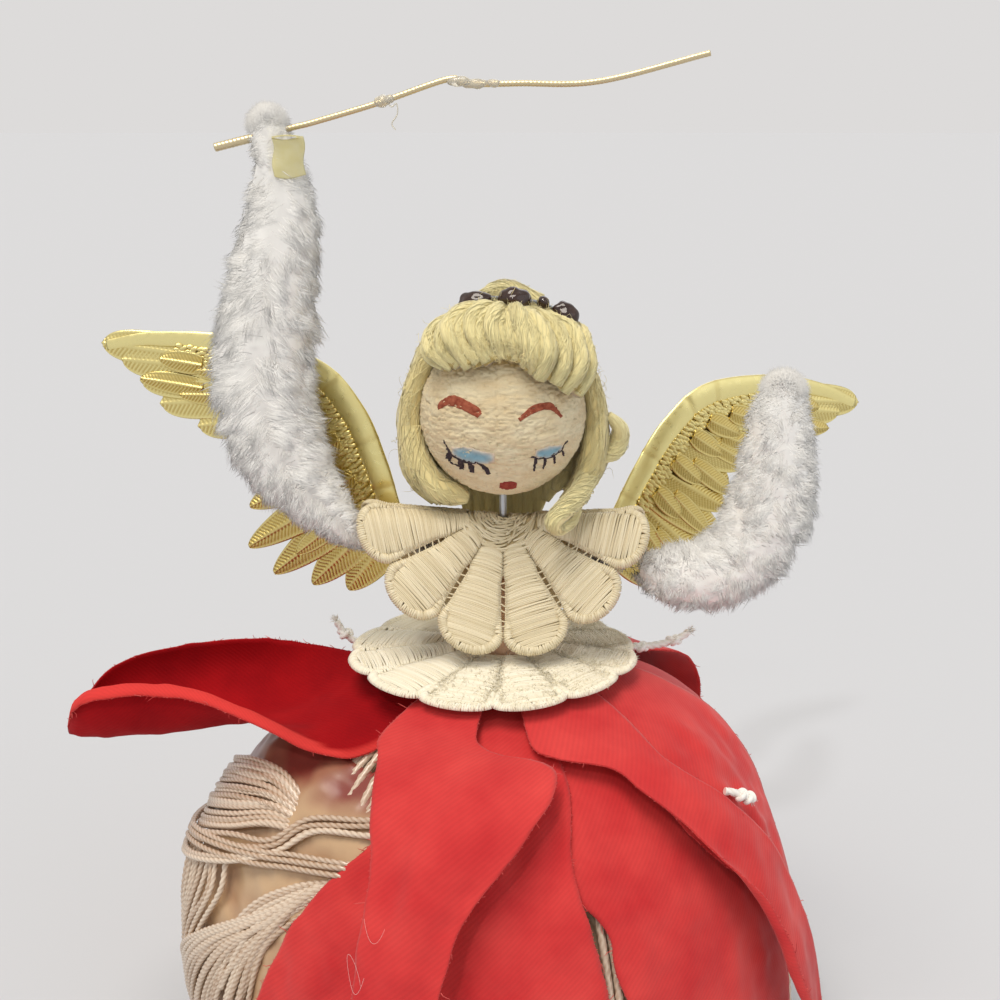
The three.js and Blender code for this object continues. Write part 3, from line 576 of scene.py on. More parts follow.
@dataclass(frozen=True)
class Twill(Finish):
    """Woven cotton: fine diagonal ribs over a plain dye that has gone pale in patches."""

    rib: float = 0.75
    depth: float = 0.03
    patch: float = 14.0
    # The colour of the painted light on a folded rim
    rim_light: str = "#E2403C"

    def wire(self, tree: bpy.types.NodeTree, shader: bpy.types.Node) -> None:
        """Draws the ribs on the flat cloth, and the fade over it.

        Args:
            tree: The material's nodes.
            shader: Its shader node.
        """
        cloth = add_node(tree, "Attribute", {"attribute_name": "flat"})
        # The real ribs are about 0.4 mm apart, too fine for the picture, so they are drawn wider
        ribs = add_node(tree, "TexWave",
                        {"bands_direction": "DIAGONAL", "Scale": WAVE_REPEAT / self.rib, "Distortion": 0.6,
                         "Detail": 2.0, "Detail Scale": 1.5}, {"Vector": cloth.outputs["Vector"]})
        patches = add_node(tree, "TexNoise", {"Scale": 1 / self.patch, "Detail": 5.0},
                           {"Vector": cloth.outputs["Vector"]})
        share = add_node(tree, "MapRange", {"From Min": 0.3, "From Max": 0.7},
                         {"Value": patches.outputs[0]})
        colour = add_node(tree, "Mix", self.ends(), {0: share.outputs[0]})
        tone = add_node(tree, "Attribute", {"attribute_name": "tone"})
        # The shade number runs the colour towards the painted light of a folded rim
        rim_lit = add_node(tree, "Mix", {"data_type": "RGBA", 7: linear(self.rim_light)},
                         {0: tone.outputs["Fac"], 6: colour.outputs[2]})
        lines = add_node(tree, "MapRange", {"To Min": 0.93, "To Max": 1.0},
                         {"Value": ribs.outputs["Fac"]})
        woven = add_node(tree, "Mix", {"data_type": "RGBA", "blend_type": "MULTIPLY", 0: 1.0},
                         {6: rim_lit.outputs[2], 7: lines.outputs[0]})
        bump = add_node(tree, "Bump", {"Strength": 0.6, "Distance": self.depth * MM},
                        {"Height": ribs.outputs["Fac"]})
        tree.links.new(woven.outputs[2], shader.inputs["Base Color"])
        tree.links.new(bump.outputs[0], shader.inputs["Normal"])


@dataclass(frozen=True)
class Foil(Finish):
    """Thin foil with a faint orange-peel skin, its colour painted brighter on the raised lines and darker in
    the hollows, as highlight and shade.
    """

    peel: float = 1.1
    depth: float = 0.02

    def wire(self, tree: bpy.types.NodeTree, shader: bpy.types.Node) -> None:
        """Adds the painted shade in the hollows, the painted highlight on the raised lines and the uneven
        polish.

        Args:
            tree: The material's nodes.
            shader: Its shader node.
        """
        place_on = add_node(tree, "TexCoord")
        tone = add_node(tree, "Attribute", {"attribute_name": "tone"})
        # The shade number paints the foil darker in its hollows and brighter on its raised lines, as shade and
        # highlight
        colour = add_node(tree, "Mix", {"data_type": "RGBA", 6: linear(self.second),
                                                  7: linear(self.colour)}, {0: tone.outputs["Fac"]})
        peel = add_node(tree, "TexNoise", {"Scale": per_mm(self.peel), "Detail": 3.0},
                        {"Vector": place_on.outputs["Object"]})
        polish = add_node(tree, "MapRange",
                          {"From Min": 0.3, "From Max": 0.7, "To Min": self.roughness - 0.07,
                           "To Max": self.roughness + 0.1}, {"Value": peel.outputs[0]})
        bump = add_node(tree, "Bump", {"Strength": 0.5, "Distance": self.depth * MM},
                        {"Height": peel.outputs[0]})
        tree.links.new(colour.outputs[2], shader.inputs["Base Color"])
        tree.links.new(polish.outputs[0], shader.inputs["Roughness"])
        tree.links.new(bump.outputs[0], shader.inputs["Normal"])


@dataclass(frozen=True)
class Clear(Finish):
    """Glass, dried glue or oiled paper, which lets part of the light through."""

    ior: float = 1.5
    through: float = 0.5

    def wire(self, tree: bpy.types.NodeTree, shader: bpy.types.Node) -> None:
        """Sets how much light passes, and adds faint streaks of the second colour.

        Args:
            tree: The material's nodes.
            shader: Its shader node.
        """
        shader.inputs["IOR"].default_value = self.ior
        shader.inputs["Transmission Weight"].default_value = self.through
        place_on = add_node(tree, "TexCoord")
        streaks = add_node(tree, "TexNoise", {"Scale": per_mm(1.5), "Detail": 2.0},
                           {"Vector": place_on.outputs["Object"]})
        colour = add_node(tree, "Mix", self.ends(), {0: streaks.outputs[0]})
        tree.links.new(colour.outputs[2], shader.inputs["Base Color"])


# Cotton wadding pressed into a ball: matt, with fibres that wrinkle round it
SPUN_COTTON = Mottled("spun cotton, pressed", "#EADCB8", "#E0CBA2", 0.9, sheen=0.2, patch=7, tooth=0.6,
                      depth=0.2, squash=2.4)
# Brush paint on wadding: matt and a little uneven
BROW_PAINT = Mottled("brow paint on cotton", "#8A3A22", "#A85C40", 0.8, patch=0.8, tooth=0.5, depth=0.06)
LASH_PAINT = Mottled("lash paint on cotton", "#281A20", "#3A2A30", 0.7, patch=0.8, tooth=0.5, depth=0.06)
LID_PAINT = Finish("lid paint on cotton, thinned at its edge", "#84ACBC", "#DCC9B0", 0.85)
LIP_PAINT = Mottled("lip paint on cotton", "#8C241C", "#A03C30", 0.6, patch=0.8, tooth=0.5, depth=0.06)
# Loosely spun wool: soft pale fibres with a bright fuzzy edge, painted darker as shade where locks lie under
# others or at the sides
WOOL = Nap("wool roving, loosely spun", "#D2AE4A", "#FFF4BA", 0.85, sheen=0.5, soft=1.4)
# Cut rayon pile between two twisted wires: white and silky at the tips, painted grey towards the core as shade
# deep in the pile
PILE = Nap("chenille pile, cut rayon", "#A3A098", "#FFFDF8", 0.7, sheen=0.8)
CORE = Finish("chenille core, twisted wire", "#6E7178", "#9A9DA4", 0.5)
# Machine lace from mercerised cotton: thick satin stitches with a low shine
LACE = Finish("guipure lace, satin stitch", "#C2AF82", "#EEE2C2", 0.5, sheen=0.2)
# The ground under the stitches is coloured darker than they are, as painted shade between the threads
LACE_GROUND = Mottled("guipure lace, ground", "#BCA678", "#D6C498", 0.85, sheen=0.2, patch=3, tooth=0.4,
                      depth=0.08)
# The same thread where wear has brushed it into a pale nap
LACE_NAP = Finish("guipure lace, brushed by wear", "#E6DAB8", "#FFF9E6", 0.9, sheen=0.3)
# Dyed cotton, cut and left raw at the edges
COTTON = Twill("red cotton, twill woven", "#C81C22", "#E2403C", 0.85, sheen=0.15)
# The same cloth painted darker, as the shade that the trough lies in
SHADED_COTTON = Twill("red cotton, painted_shade side", "#93000C", "#AE0812", 0.9, specular=0.2)
FRAY = Finish("red cotton, frayed thread", "#B4161C", "#EC6660", 0.85)
# Twisted rayon: smooth plies with a silk shine, painted lighter on their ridges and darker between them, as
# glint and shade
CORD = Finish("rayon cord, three-ply", "#B08E70", "#F0DEC8", 0.2, specular=0.8)
CORD_END = Finish("rayon cord, knotted end", "#E8E2D4", "#FFFDF8", 0.3)
# Glue that ran between the cords and dried yellow
GLUE_FILM = Finish("dried glue over card", "#8A4238", "#CDAC86", 0.3)
# Loose white fibres that cling to the cloth
WISP = Finish("stray white fibres", "#E9A6A2", "#F5D2CF", 0.7)
# Pressed grey-brown board
CARD = Mottled("moulded card", "#BBA487", "#CDB99C", 0.9, patch=9, tooth=0.6, depth=0.06)
# Wool felt in a skin tone
FELT = Mottled("peach felt", "#E2B694", "#EDC9AC", 0.95, sheen=0.4, patch=4, tooth=0.4, depth=0.15)
# Drawn steel wire, dull from handling
STEEL = Foil("drawn steel wire", "#C9CBCF", "#8D9096", 0.36, 1.0, peel=0.5)
# Pressed glass, nearly black until light catches it
GLASS = Clear("brown glass, pressed", "#1E0F0B", "#54372A", 0.05, ior=1.55, through=0.25)
# Brass foil stamped over a die, lacquered gold
FOIL = Foil("brass foil, stamped", "#F6EAA6", "#B89A48", 0.32, 1.0)
# Foil wound on thread
WOUND_FOIL = Foil("foil thread, wound", "#E0D2AE", "#A8946A", 0.36, 1.0, peel=0.6)
# A dark disc that paints the shade inside the hollow end
SHADED_HOLLOW = Finish("wound thread, dark end", "#1E1812", "#2C241A", 0.8)
# Yellowed glassine paper
PAPER = Clear("old glassine paper", "#F0E6A2", "#FAF4CC", 0.4, ior=1.4, through=0.3)
# Dried clear glue
GLUE = Clear("dried glue", "#F1E9D2", "#FBF8EE", 0.18, ior=1.47, through=0.55)
FLOOR = Finish("pale studio floor", "#D1D3D7", "#D1D3D7", 0.9, specular=0.0)


def dress_node(node: str, finish: Finish) -> None:
    """Gives its finish to a CAD node that shows as it is.

    Args:
        node: The CAD node.
        finish: What it is made of.
    """
    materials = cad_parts[node].data.materials
    materials.clear()
    materials.append(finish.material())


@dataclass
class Stage:
    """The camera, the floor and the lights round the object."""

    lens: float = 50.4
    reach: float = 0.298
    elevation: float = 15.0
    aim: tuple[float, float, float] = (-0.00064, 0.0, 0.130)
    floor_radius: float = 40.0
    ambient: float = 0.42

    def camera(self) -> None:
        """Puts the camera at the photograph's place."""
        data = bpy.data.cameras.new("camera")
        data.lens = self.lens
        data.sensor_width = 36.0
        data.clip_start = 0.01
        data.clip_end = 100.0
        camera = bpy.data.objects.new("camera", data)
        tilt = math.radians(self.elevation)
        back = Vector((0, -math.cos(tilt), math.sin(tilt)))
        camera.location = Vector(self.aim) + back * self.reach
        camera.rotation_euler = (math.pi / 2 - tilt, 0, 0)
        bpy.context.scene.collection.objects.link(camera)
        bpy.context.scene.camera = camera

    def floor(self) -> None:
        """Lays the pale floor under the foot."""
        bag = MeshBag()
        angle = circle(96)
        ring = xyz(np.cos(angle), np.sin(angle), 0) * self.floor_radius * 1000
        bag.skin(np.stack([ring - (0, 0, 0.2), ring - (0, 0, 12)]))
        floor = bag.build("floor", FLOOR)
        floor.data.shade_flat()

    def lamp(self, name: str, spot: tuple[float, float, float], spread: float, strength: float,
             colour: str) -> None:
        """Hangs one soft distant lamp that looks at the object, so that the floor is lit evenly.

        Args:
            name: What it is called.
            spot: The direction that it shines from.
            spread: How wide it looks from the object, in degrees.
            strength: Watts for each square metre.
            colour: Its light as an sRGB hex value.
        """
        data = bpy.data.lights.new(name, "SUN")
        data.angle = math.radians(spread)
        data.energy = strength
        data.color = linear(colour)[:3]
        lamp = bpy.data.objects.new(name, data)
        lamp.location = spot
        lamp.rotation_euler = (-Vector(spot)).to_track_quat("-Z", "Y").to_euler()
        bpy.context.scene.collection.objects.link(lamp)

    def world(self) -> None:
        """Surrounds the scene with an even pale grey that meets the floor's own shade where it is seen."""
        world = bpy.data.worlds.new("studio")
        world.use_nodes = True
        bpy.context.scene.world = world
        tree = world.node_tree
        sky = tree.nodes["Background"]
        rays = add_node(tree, "LightPath")
        mirrored = add_node(tree, "Math", {"operation": "MAXIMUM"},
                            {0: rays.outputs["Is Glossy Ray"], 1: rays.outputs["Is Transmission Ray"]})
        seen = add_node(tree, "Math", {"operation": "MAXIMUM"},
                        {0: rays.outputs["Is Camera Ray"], 1: mirrored.outputs[0]})
        shade = add_node(tree, "Mix", {"data_type": "RGBA", 6: linear("#FFFFFF"),
                                                 7: linear("#DDDBDA")}, {0: seen.outputs[0]})
        strength = add_node(tree, "MapRange", {"To Min": self.ambient, "To Max": 1.0},
                            {"Value": seen.outputs[0]})
        tree.links.new(shade.outputs[2], sky.inputs["Color"])
        tree.links.new(strength.outputs[0], sky.inputs["Strength"])

    def build(self) -> None:
        """Sets up everything that isn't the object."""
        bpy.context.scene.view_settings.view_transform = "Standard"
        self.camera()
        self.floor()
        self.lamp("key lamp", (-0.2, -0.32, 1.0), 30, 1.8, "#FFF6EA")
        self.lamp("small lamp", (-0.25, -0.8, 0.75), 3, 0.4, "#FFFFFF")
        self.lamp("fill lamp", (0.75, -0.5, 0.4), 50, 0.25, "#F0F5FF")
        self.lamp("back lamp", (0.2, 0.8, 0.55), 40, 0.4, "#FFFFFF")
        self.world()


@dataclass
class Bell:
    """The card form's side, a rounded bell measured from the middle of its crown, and the waist's height."""

    foot: float = 64.0
    crown: float = 89.0
    roundness: float = 3.2
    upward: float = 2.2
    wall: float = 1.2
    waist: float = 92.3

    def __post_init__(self) -> None:
        """Works out the side's radius, height and slope along its length."""
        turn = np.linspace(0, np.pi / 2, 601)
        self.r = self.foot * np.sin(turn) ** (2 / self.roundness)
        self.z = self.crown * np.clip(np.cos(turn), 0, None) ** (2 / self.upward)
        step = np.hypot(np.diff(self.r), np.diff(self.z))
        self.run = np.concatenate([[0], np.cumsum(step)])
        self.length = float(self.run[-1])
        along = unit(np.stack([np.gradient(self.r, self.run), np.gradient(self.z, self.run)], -1))
        self.out, self.up = -along[:, 1], along[:, 0]

    def distance(self, radius: float) -> float:
        """How far down the side the form reaches this radius."""
        return float(np.interp(radius, self.r, self.run))

    def radius(self, distance: Array) -> Array:
        """The form's radius at a distance down its side."""
        return np.interp(distance, self.run, self.r)

    def off(self, distance: Array, turn: Array, rise: Array) -> Array:
        """Points off the form.

        Args:
            distance: How far down the side.
            turn: Degrees from the front towards +X.
            rise: How far off the surface.

        Returns:
            The points.
        """
        r = np.interp(distance, self.run, self.r) + np.interp(distance, self.run, self.out) * rise
        z = np.interp(distance, self.run, self.z) + np.interp(distance, self.run, self.up) * rise
        return around_z(r, np.radians(turn), z)


@dataclass
class CordSkirt:
    """The card form and the rayon cord looped up and down it."""

    bell: Bell
    diameter: float = 1.8
    gap: float = 0.3
    slack: float = 0.6
    top_radius: float = 23.0
    hem_up: float = 7.0
    puff: float = 10.0
    puff_turn: float = -76.0
    puff_spread: float = 24.0
    loops: int = 54
    twist: float = 4.8
    hole: float = 1.05
    film_run: tuple[float, float] = (41.0, 108.0)
    film_turn: tuple[float, float] = (-126.0, -27.0)
    end_root: float = 18.0
    side_end_up: float = 75.0
    side_end_rise: float = 7.75
    # Strands, layer, how deep their start dives, then turn and distance along the first and the last of them
    pulled: list[tuple[int, float, float, list, list]] = field(default_factory=lambda: [
        (20, 0.2, 1.6, [(-48, 53.5), (-60, 50), (-70, 51.5), (-82, 56), (-95, 61), (-112, 66)],
         [(-47, 56), (-57, 58.5), (-66, 64), (-78, 70), (-92, 76), (-110, 84)]),
        (15, 0.6, 0, [(-63, 68), (-62, 75), (-66, 85), (-71, 97), (-74, 111)],
         [(-86, 74), (-87, 84), (-89, 94), (-92, 104), (-95, 112)]),
        (4, 1.9, 0, [(-31, 49), (-47, 54), (-53, 60), (-62, 64.5), (-76, 69), (-97, 72)],
         [(-29, 53), (-43, 55.5), (-51, 62), (-60, 67.5), (-74, 74), (-95, 81)]),
        (3, 2.2, 4.0, [(-26, 57), (-44, 60), (-54.5, 63), (-76, 69)],
         [(-26.5, 59), (-45, 62.4), (-55, 65.4), (-78, 72)]),
        (9, 1.0, 2.2, [(-29, 58), (-36, 62), (-45, 66), (-54, 74), (-60, 88)],
         [(-29, 60), (-35.5, 64.5), (-43, 71), (-49, 80), (-53, 96)]),
        (22, 1.2, 2.2, [(-34, 60), (-41.5, 67), (-46.5, 75.5), (-48.5, 82.5), (-50.5, 93), (-52, 110)],
         [(-35, 59.5), (-41, 65.5), (-51, 74), (-64, 84), (-75, 96), (-85, 112)]),
    ])

    def __post_init__(self) -> None:
        """Marks where the loops turn."""
        self.top = self.bell.distance(self.top_radius)
        self.hem = self.bell.length - self.hem_up

    def rise(self, distance: Array, turn: Array, share: float = 1.0) -> Array:
        """How far the middle of the cord lies off the form.

        Args:
            distance: How far down the side.
            turn: Degrees from the front towards +X.
            share: How much of the slack puffs it out.

        Returns:
            The rise at each place.
        """
        away = ((np.asarray(turn) - self.puff_turn + 540) % 360 - 180) / self.puff_spread
        along = np.sin(np.pi * np.clip((distance - self.top) / (self.hem - self.top), 0, 1))
        return self.diameter / 2 + self.gap + self.slack + share * self.puff * along * np.exp(-away * away)

    def plied(self, bag: MeshBag, path: Array, radius: float, tone: float, spacing: float = 0.9) -> None:
        """Adds a three-ply cord.

        Args:
            bag: Where it goes.
            path: The middle of the cord.
            radius: Half its thickness.
            tone: Its shade.
            spacing: Millimetres between its rings.
        """
        length = run_along(path)[-1]
        line = even(path, max(6, int(length / spacing)))
        run = np.linspace(0, length, len(line))
        sides = 9
        ridge = np.abs(np.cos(1.5 * (circle(sides) - 2 * np.pi * run[:, None] / self.twist)))
        # Each ply is painted lighter on its ridge and darker in the valleys, as glint and shade
        bag.tubes(line[None], (radius * mix(0.66, 1.0, ridge))[None], sides,
                  tone=np.clip(0.5 * tone + 0.7 * ridge - 0.15, 0, 1)[None])

    def form(self) -> None:
        """Makes the hollow card bell with the wire's hole in its crown."""
        side = np.linspace(self.bell.distance(self.hole), self.bell.length, 60)
        outer = self.bell.off(side, 0, 0)
        inner = self.bell.off(side, 0, -self.bell.wall)
        inner[-1] = (0, -(self.bell.foot - self.bell.wall), 0)
        inner[0] = (0, -self.hole, self.bell.crown - self.bell.wall)
        profile = np.concatenate([outer, inner[::-1]])
        bag = MeshBag()
        bag.skin(around_z(-profile[:, 1:2], circle(96), profile[:, 2:]), looped=True)
        place(bag.build("card_form", CARD), Body.SKIRT, Slot.CARD, "skirt_form")

    def cord(self) -> None:
        """Makes the long cord in loops, the strands pulled loose at one side and the dried glue under them."""
        rng = np.random.default_rng(4)
        bag = MeshBag()
        legs = self.loops * 2
        step = 360 / legs
        line = []
        for leg in range(legs):
            turn = leg * step - 180 + step / 2
            down = leg % 2 == 0
            share = np.linspace(0, 1, 26) if down else np.linspace(1, 0, 26)
            distance = mix(self.top, self.hem, share)
            drift, lift = rng.normal(0, 0.9), rng.uniform(-0.25, 0.35)
            sway = turn + np.sin(np.pi * share) * drift + np.sin(2.3 * np.pi * share + leg) * 0.5
            rise = self.rise(distance, sway, 0.15) + lift * np.sin(np.pi * share)
            line.append(self.bell.off(distance, sway, rise))
            bend = np.linspace(0, np.pi, 7)[1:-1]
            end = self.hem if down else self.top
            reach = self.bell.radius(end) * math.radians(step) * 0.5 * (1 if down else -1)
            aside = turn + step / 2 * (1 - np.cos(bend))
            line.append(self.bell.off(end + reach * np.sin(bend), aside, self.rise(end, aside)))
        self.plied(bag, np.concatenate(line[:-1]), self.diameter / 2, 0.6, 1.0)
        for count, layer, dip, first, last in self.pulled:
            for k in range(count):
                part = (k + rng.uniform(-0.3, 0.3)) / max(count - 1, 1)
                knots = mix(np.array(first, float), np.array(last, float), part)
                turn, distance = spline(knots + rng.normal(0, 0.35, knots.shape), 40).T
                dive = dip * (1 - smoothstep(np.linspace(0, 1, 40), 0.0, 0.18))
                rise = self.rise(distance, turn) + layer + rng.uniform(0, 0.5) - dive
                path, thin = self.bell.off(distance, turn, rise), rng.uniform(0.64, 0.78)
                self.plied(bag, path, self.diameter / 2 * thin, rng.uniform(0, 1), 0.36)
        self.glue_film(bag)
        place(bag.build("looped_cord", CORD, GLUE_FILM), Body.SKIRT, Slot.CORD, "skirt_cord")

    def glue_film(self, bag: MeshBag) -> None:
        """Adds the lumpy glue under the pulled strands, which runs out at its lower and its back edge.

        Args:
            bag: Where it goes.
        """
        (upper, lower), (back, front) = self.film_run, self.film_turn
        distance, turn = np.linspace(upper, lower, 74)[:, None], np.linspace(back, front, 100)[None]
        ground = self.bell.off(distance, turn, 0)
        lumps = grain(ground, 6, 14) + 0.5 * grain(ground, 2.2, 15)
        swell = smoothstep(turn, -62, -48) * smoothstep(distance, upper + 1, upper + 9)
        thinned = smoothstep(distance, lower - 14, lower - 1) + 1 - smoothstep(turn, back, back + 16)
        film = self.rise(distance, turn, 0.86) - 0.3 + 0.7 * lumps + 1.6 * swell - 2.4 * thinned
        # Darker and redder towards the waist
        shade = smoothstep(distance + 0.22 * turn, 34, 44) + 0.3 * lumps
        bag.slab(self.bell.off(distance, turn, film - 0.4), self.bell.off(distance, turn, film), slot=1,
                 tone=np.clip(shade, 0, 1))

    def knotted_end(self, name: str, path: Array, node: str, seed: int) -> None:
        """Makes a short cord end with an overhand knot and a frayed tuft.

        Args:
            name: The piece's name.
            path: The middle of the cord, from its root to its tip.
            node: The CAD node that it replaces.
            seed: For the tuft.
        """
        rng = np.random.default_rng(seed)
        bag = MeshBag()
        line = even(spline(path, 40), 40)
        self.plied(bag, line, self.diameter * 0.5, 0.7, 0.4)
        t = np.linspace(0, 2 * np.pi, 60)
        knot = xyz(np.sin(t) + 2 * np.sin(2 * t), np.cos(t) - 2 * np.cos(2 * t), -np.sin(3 * t)) * 0.5
        for spot in (-7, -19):
            bag.tubes((knot + line[spot])[None], 0.55, 8, tone=0.8)
        way = unit(line[-1] - line[-4])
        count = 40
        spread = unit(way + rng.normal(0, 0.45, (count, 3)))
        tuft = hairs(line[-1:], spread, rng.uniform(0.8, 2.0, count), np.linspace(0, 1, 5))
        bag.tubes(tuft, np.linspace(0.12, 0.05, 5), 3, True, rng.uniform(0.3, 1, count))
        place(bag.build(name, CORD_END), Body.SKIRT, Slot.CORD, node)

    def build(self) -> None:
        """Makes the form, its cord and the three loose ends."""
        self.form()
        self.cord()
        rest = self.bell.waist + 0.5 + self.gap + self.diameter / 2
        bends = [(0, 0), (6, 0), (12, 0), (15.5, 0.6), (18, 2), (19.4, 3.4), (20.6, 5.4)]
        out, up = np.array(bends).T
        for name, turn, node, far, high in [("cord_end_right_tied", -104, "cord_end_right", 1.0, 1.0),
                                            ("cord_end_left_tied", 103, "cord_end_left", 1.22, 0.5)]:
            path = around_z(self.end_root + far * out, math.radians(turn), rest + high * up)
            self.knotted_end(name, path, node, abs(turn))
        share = np.linspace(0, 1, 5)
        lift = np.array([0, 0.8, 1.2, 1.5, 1.6])
        path = self.bell.off(self.bell.length - self.side_end_up + share * 4, 57.5 + share * 5,
                             self.side_end_rise + lift)
        self.knotted_end("cord_end_side_tied", path, "cord_end_side", 5)


@dataclass(frozen=True)
class PetalCut:
    """One red petal: its layer, how it stands and either its two edges or its turn and width.

    Each edge's rows are the distance down the skirt and the degrees from the front.
    """

    node: str
    layer: int
    tip_up: float
    stand: float = 0.0
    folds: float = 2.0
    fold: float = 0.22
    crease: float = 0.16
    hem_curl: float = 0.0
    turn: tuple[float, float] = (0.0, 0.0)
    width: float = 0.0
    edges: tuple = ()


@dataclass
class Petals:
    """The red cotton petals that hang from the waist."""

    skirt: CordSkirt
    thickness: float = 0.36
    root_width: float = 6.4
    slack: float = 0.25
    layer: float = 1.0
    spring_radius: float = 30.0
    spring_run: float = 22.0
    root_radius: float = 8.9
    gap: float = 0.3
    fibre_rise: float = 14.2
    rows: int = 110
    columns: int = 34
    edge_threads: int = 260
    cuts: list[PetalCut] = field(default_factory=lambda: [
        PetalCut("under_petal_front_right", 0, 14, crease=0.5, edges=(
            [(8, -40), (30, -34), (44, -30), (52, -29), (60, -35), (68, -40), (76, -43.5), (89, -47),
             (106, -50)],
            [(8, -4), (40, 0), (60, -8), (80, -24), (98, -40), (106, -49.5)])),
        PetalCut("under_petal_front", 1, 10, crease=0.6, edges=(
            [(8, -22), (40, -30), (60, -26), (80, -18), (100, -5), (110, 3)],
            [(8, 20), (40, 17), (54, 14), (65, 15.5), (80, 18), (98, 14), (110, 4)])),
        PetalCut("under_petal_front_left", 0, 14, crease=0.4, edges=(
            [(8, 14), (40, 12), (56, 12), (62, 15), (67, 19), (80, 22), (100, 30), (113, 40)],
            [(8, 60), (40, 58), (60, 62), (80, 66), (100, 66), (113, 58)])),
        PetalCut("under_petal_left", 1, 22, turn=(80, 88), width=36),
        PetalCut("under_petal_back_left", 0, 16, turn=(128, 132), width=38),
        PetalCut("under_petal_back", 1, 18, turn=(178, 182), width=38),
        PetalCut("under_petal_back_right", 0, 20, turn=(-134, -130), width=38),
        PetalCut("petal_left", 2, 46, 0.4, fold=0.1, crease=0.9, edges=(
            [(8, 20), (40, 34), (60, 46), (72, 58), (80, 66)],
            [(8, 100), (30, 92), (45, 88), (58, 82), (68, 76), (80, 67)])),
        PetalCut("petal_front_left", 3, 14, 4, 1, 0.4, crease=0.35, hem_curl=3.2, edges=(
            [(8, 8), (32, 8), (37, 14), (41, 28), (47, 32.5), (54, 38.5), (63, 43), (75, 48), (92, 53),
             (112, 63)],
            [(8, 50), (31, 46.5), (43, 44), (54, 53.5), (65, 60.5), (80, 64.5), (100, 67), (112, 64)])),
        PetalCut("petal_front_right", 4, 16, 6.5, 1, 0.8, crease=0.55, edges=(
            [(8, -36), (34, -38), (42, -31), (51, -25.5), (59, -23), (77, -22.5), (95, -21), (110, -18.5)],
            [(8, -4), (30, -9), (36, -4), (38.5, 9), (41, 12.5), (46, 10), (51, 4.5), (63, -6), (75, -9.5),
             (95, -14), (110, -18)])),
        PetalCut("petal_back_left", 3, 30, 4, fold=0.8, crease=0.4, turn=(148, 148), width=40),
        PetalCut("petal_back_right", 2, 28, 2, fold=0.5, crease=0.3, turn=(-170, -158), width=40),
    ])

    def outline(self, part: Array, width: float) -> Array:
        """Half a plain petal's width.

        Args:
            part: The part of its length, from its root at 0 to its tip at 1.
            width: Its widest.

        Returns:
            The half width at each part.
        """
        swell = np.sin(np.pi * np.clip(part, 0, 1) ** 0.8) ** 0.7
        least = np.where(part < 0.5, self.root_width / width, 0.05)
        return np.maximum(np.nan_to_num(swell), least) * width / 2

    def finish(self, name: str, grid: Array, flat: Array, node: str, seed: int,
               cloth: Twill = COTTON, rim_light: Array | float = 0.0) -> None:
        """Makes the cloth and its frayed edge.

        Args:
            name: The piece's name.
            grid: The middle of the cloth as (row, column, 3).
            flat: The same points on the flat cloth.
            node: The CAD node that it replaces.
            seed: For its threads.
            cloth: Its finish.
            rim_light: How far the colour runs towards the painted light on a folded rim at each point, from 0
                to 1.
        """
        half = normals(grid) * self.thickness / 2
        bag = MeshBag()
        bag.slab(grid - half, grid + half, tone=rim_light, flat=flat)
        sheet = place(bag.build(name, cloth), Body.SKIRT, Slot.COTTON, node)
        rng = np.random.default_rng(seed)
        threads = MeshBag()
        count = self.edge_threads
        for column, next_column in ((0, 1), (-1, -2)):
            edge = even(grid[4:, column], count)
            away = unit(edge - even(grid[4:, next_column], count))
            along = unit(np.gradient(edge, axis=0))
            lean = away * rng.uniform(0.2, 1, (count, 1)) + along * rng.normal(0, 0.7, (count, 1))
            lean += rng.normal(0, 0.3, (count, 3))
            long = rng.random(count) < 0.06
            reach = np.where(long, rng.uniform(1.0, 2.4, count), rng.uniform(0.15, 0.5, count))
            curl = np.cumsum(rng.normal(0, 0.05, (count, 5, 3)), axis=1) * reach[:, None, None]
            paths = hairs(edge, unit(lean), reach, np.linspace(0, 1, 5)) + curl
            threads.tubes(paths, np.linspace(0.09, 0.05, 5), 3, True, rng.random(count))
        fringe = place(threads.build(f"{name}_fray", FRAY), Body.SKIRT, Slot.COTTON)

    @staticmethod
    def edge(distance: Array, rows: list[tuple[float, float]]) -> Array:
        """An edge's turn at each distance down the skirt, by a smooth line through its rows."""
        line = spline(rows, 300)
        return np.interp(distance, np.maximum.accumulate(line[:, 0]), line[:, 1])

    @staticmethod
    def rests(node: str) -> str:
        """What a petal lies on."""
        return "peplum" if node == "petal_right_curled" else "looped_cord"

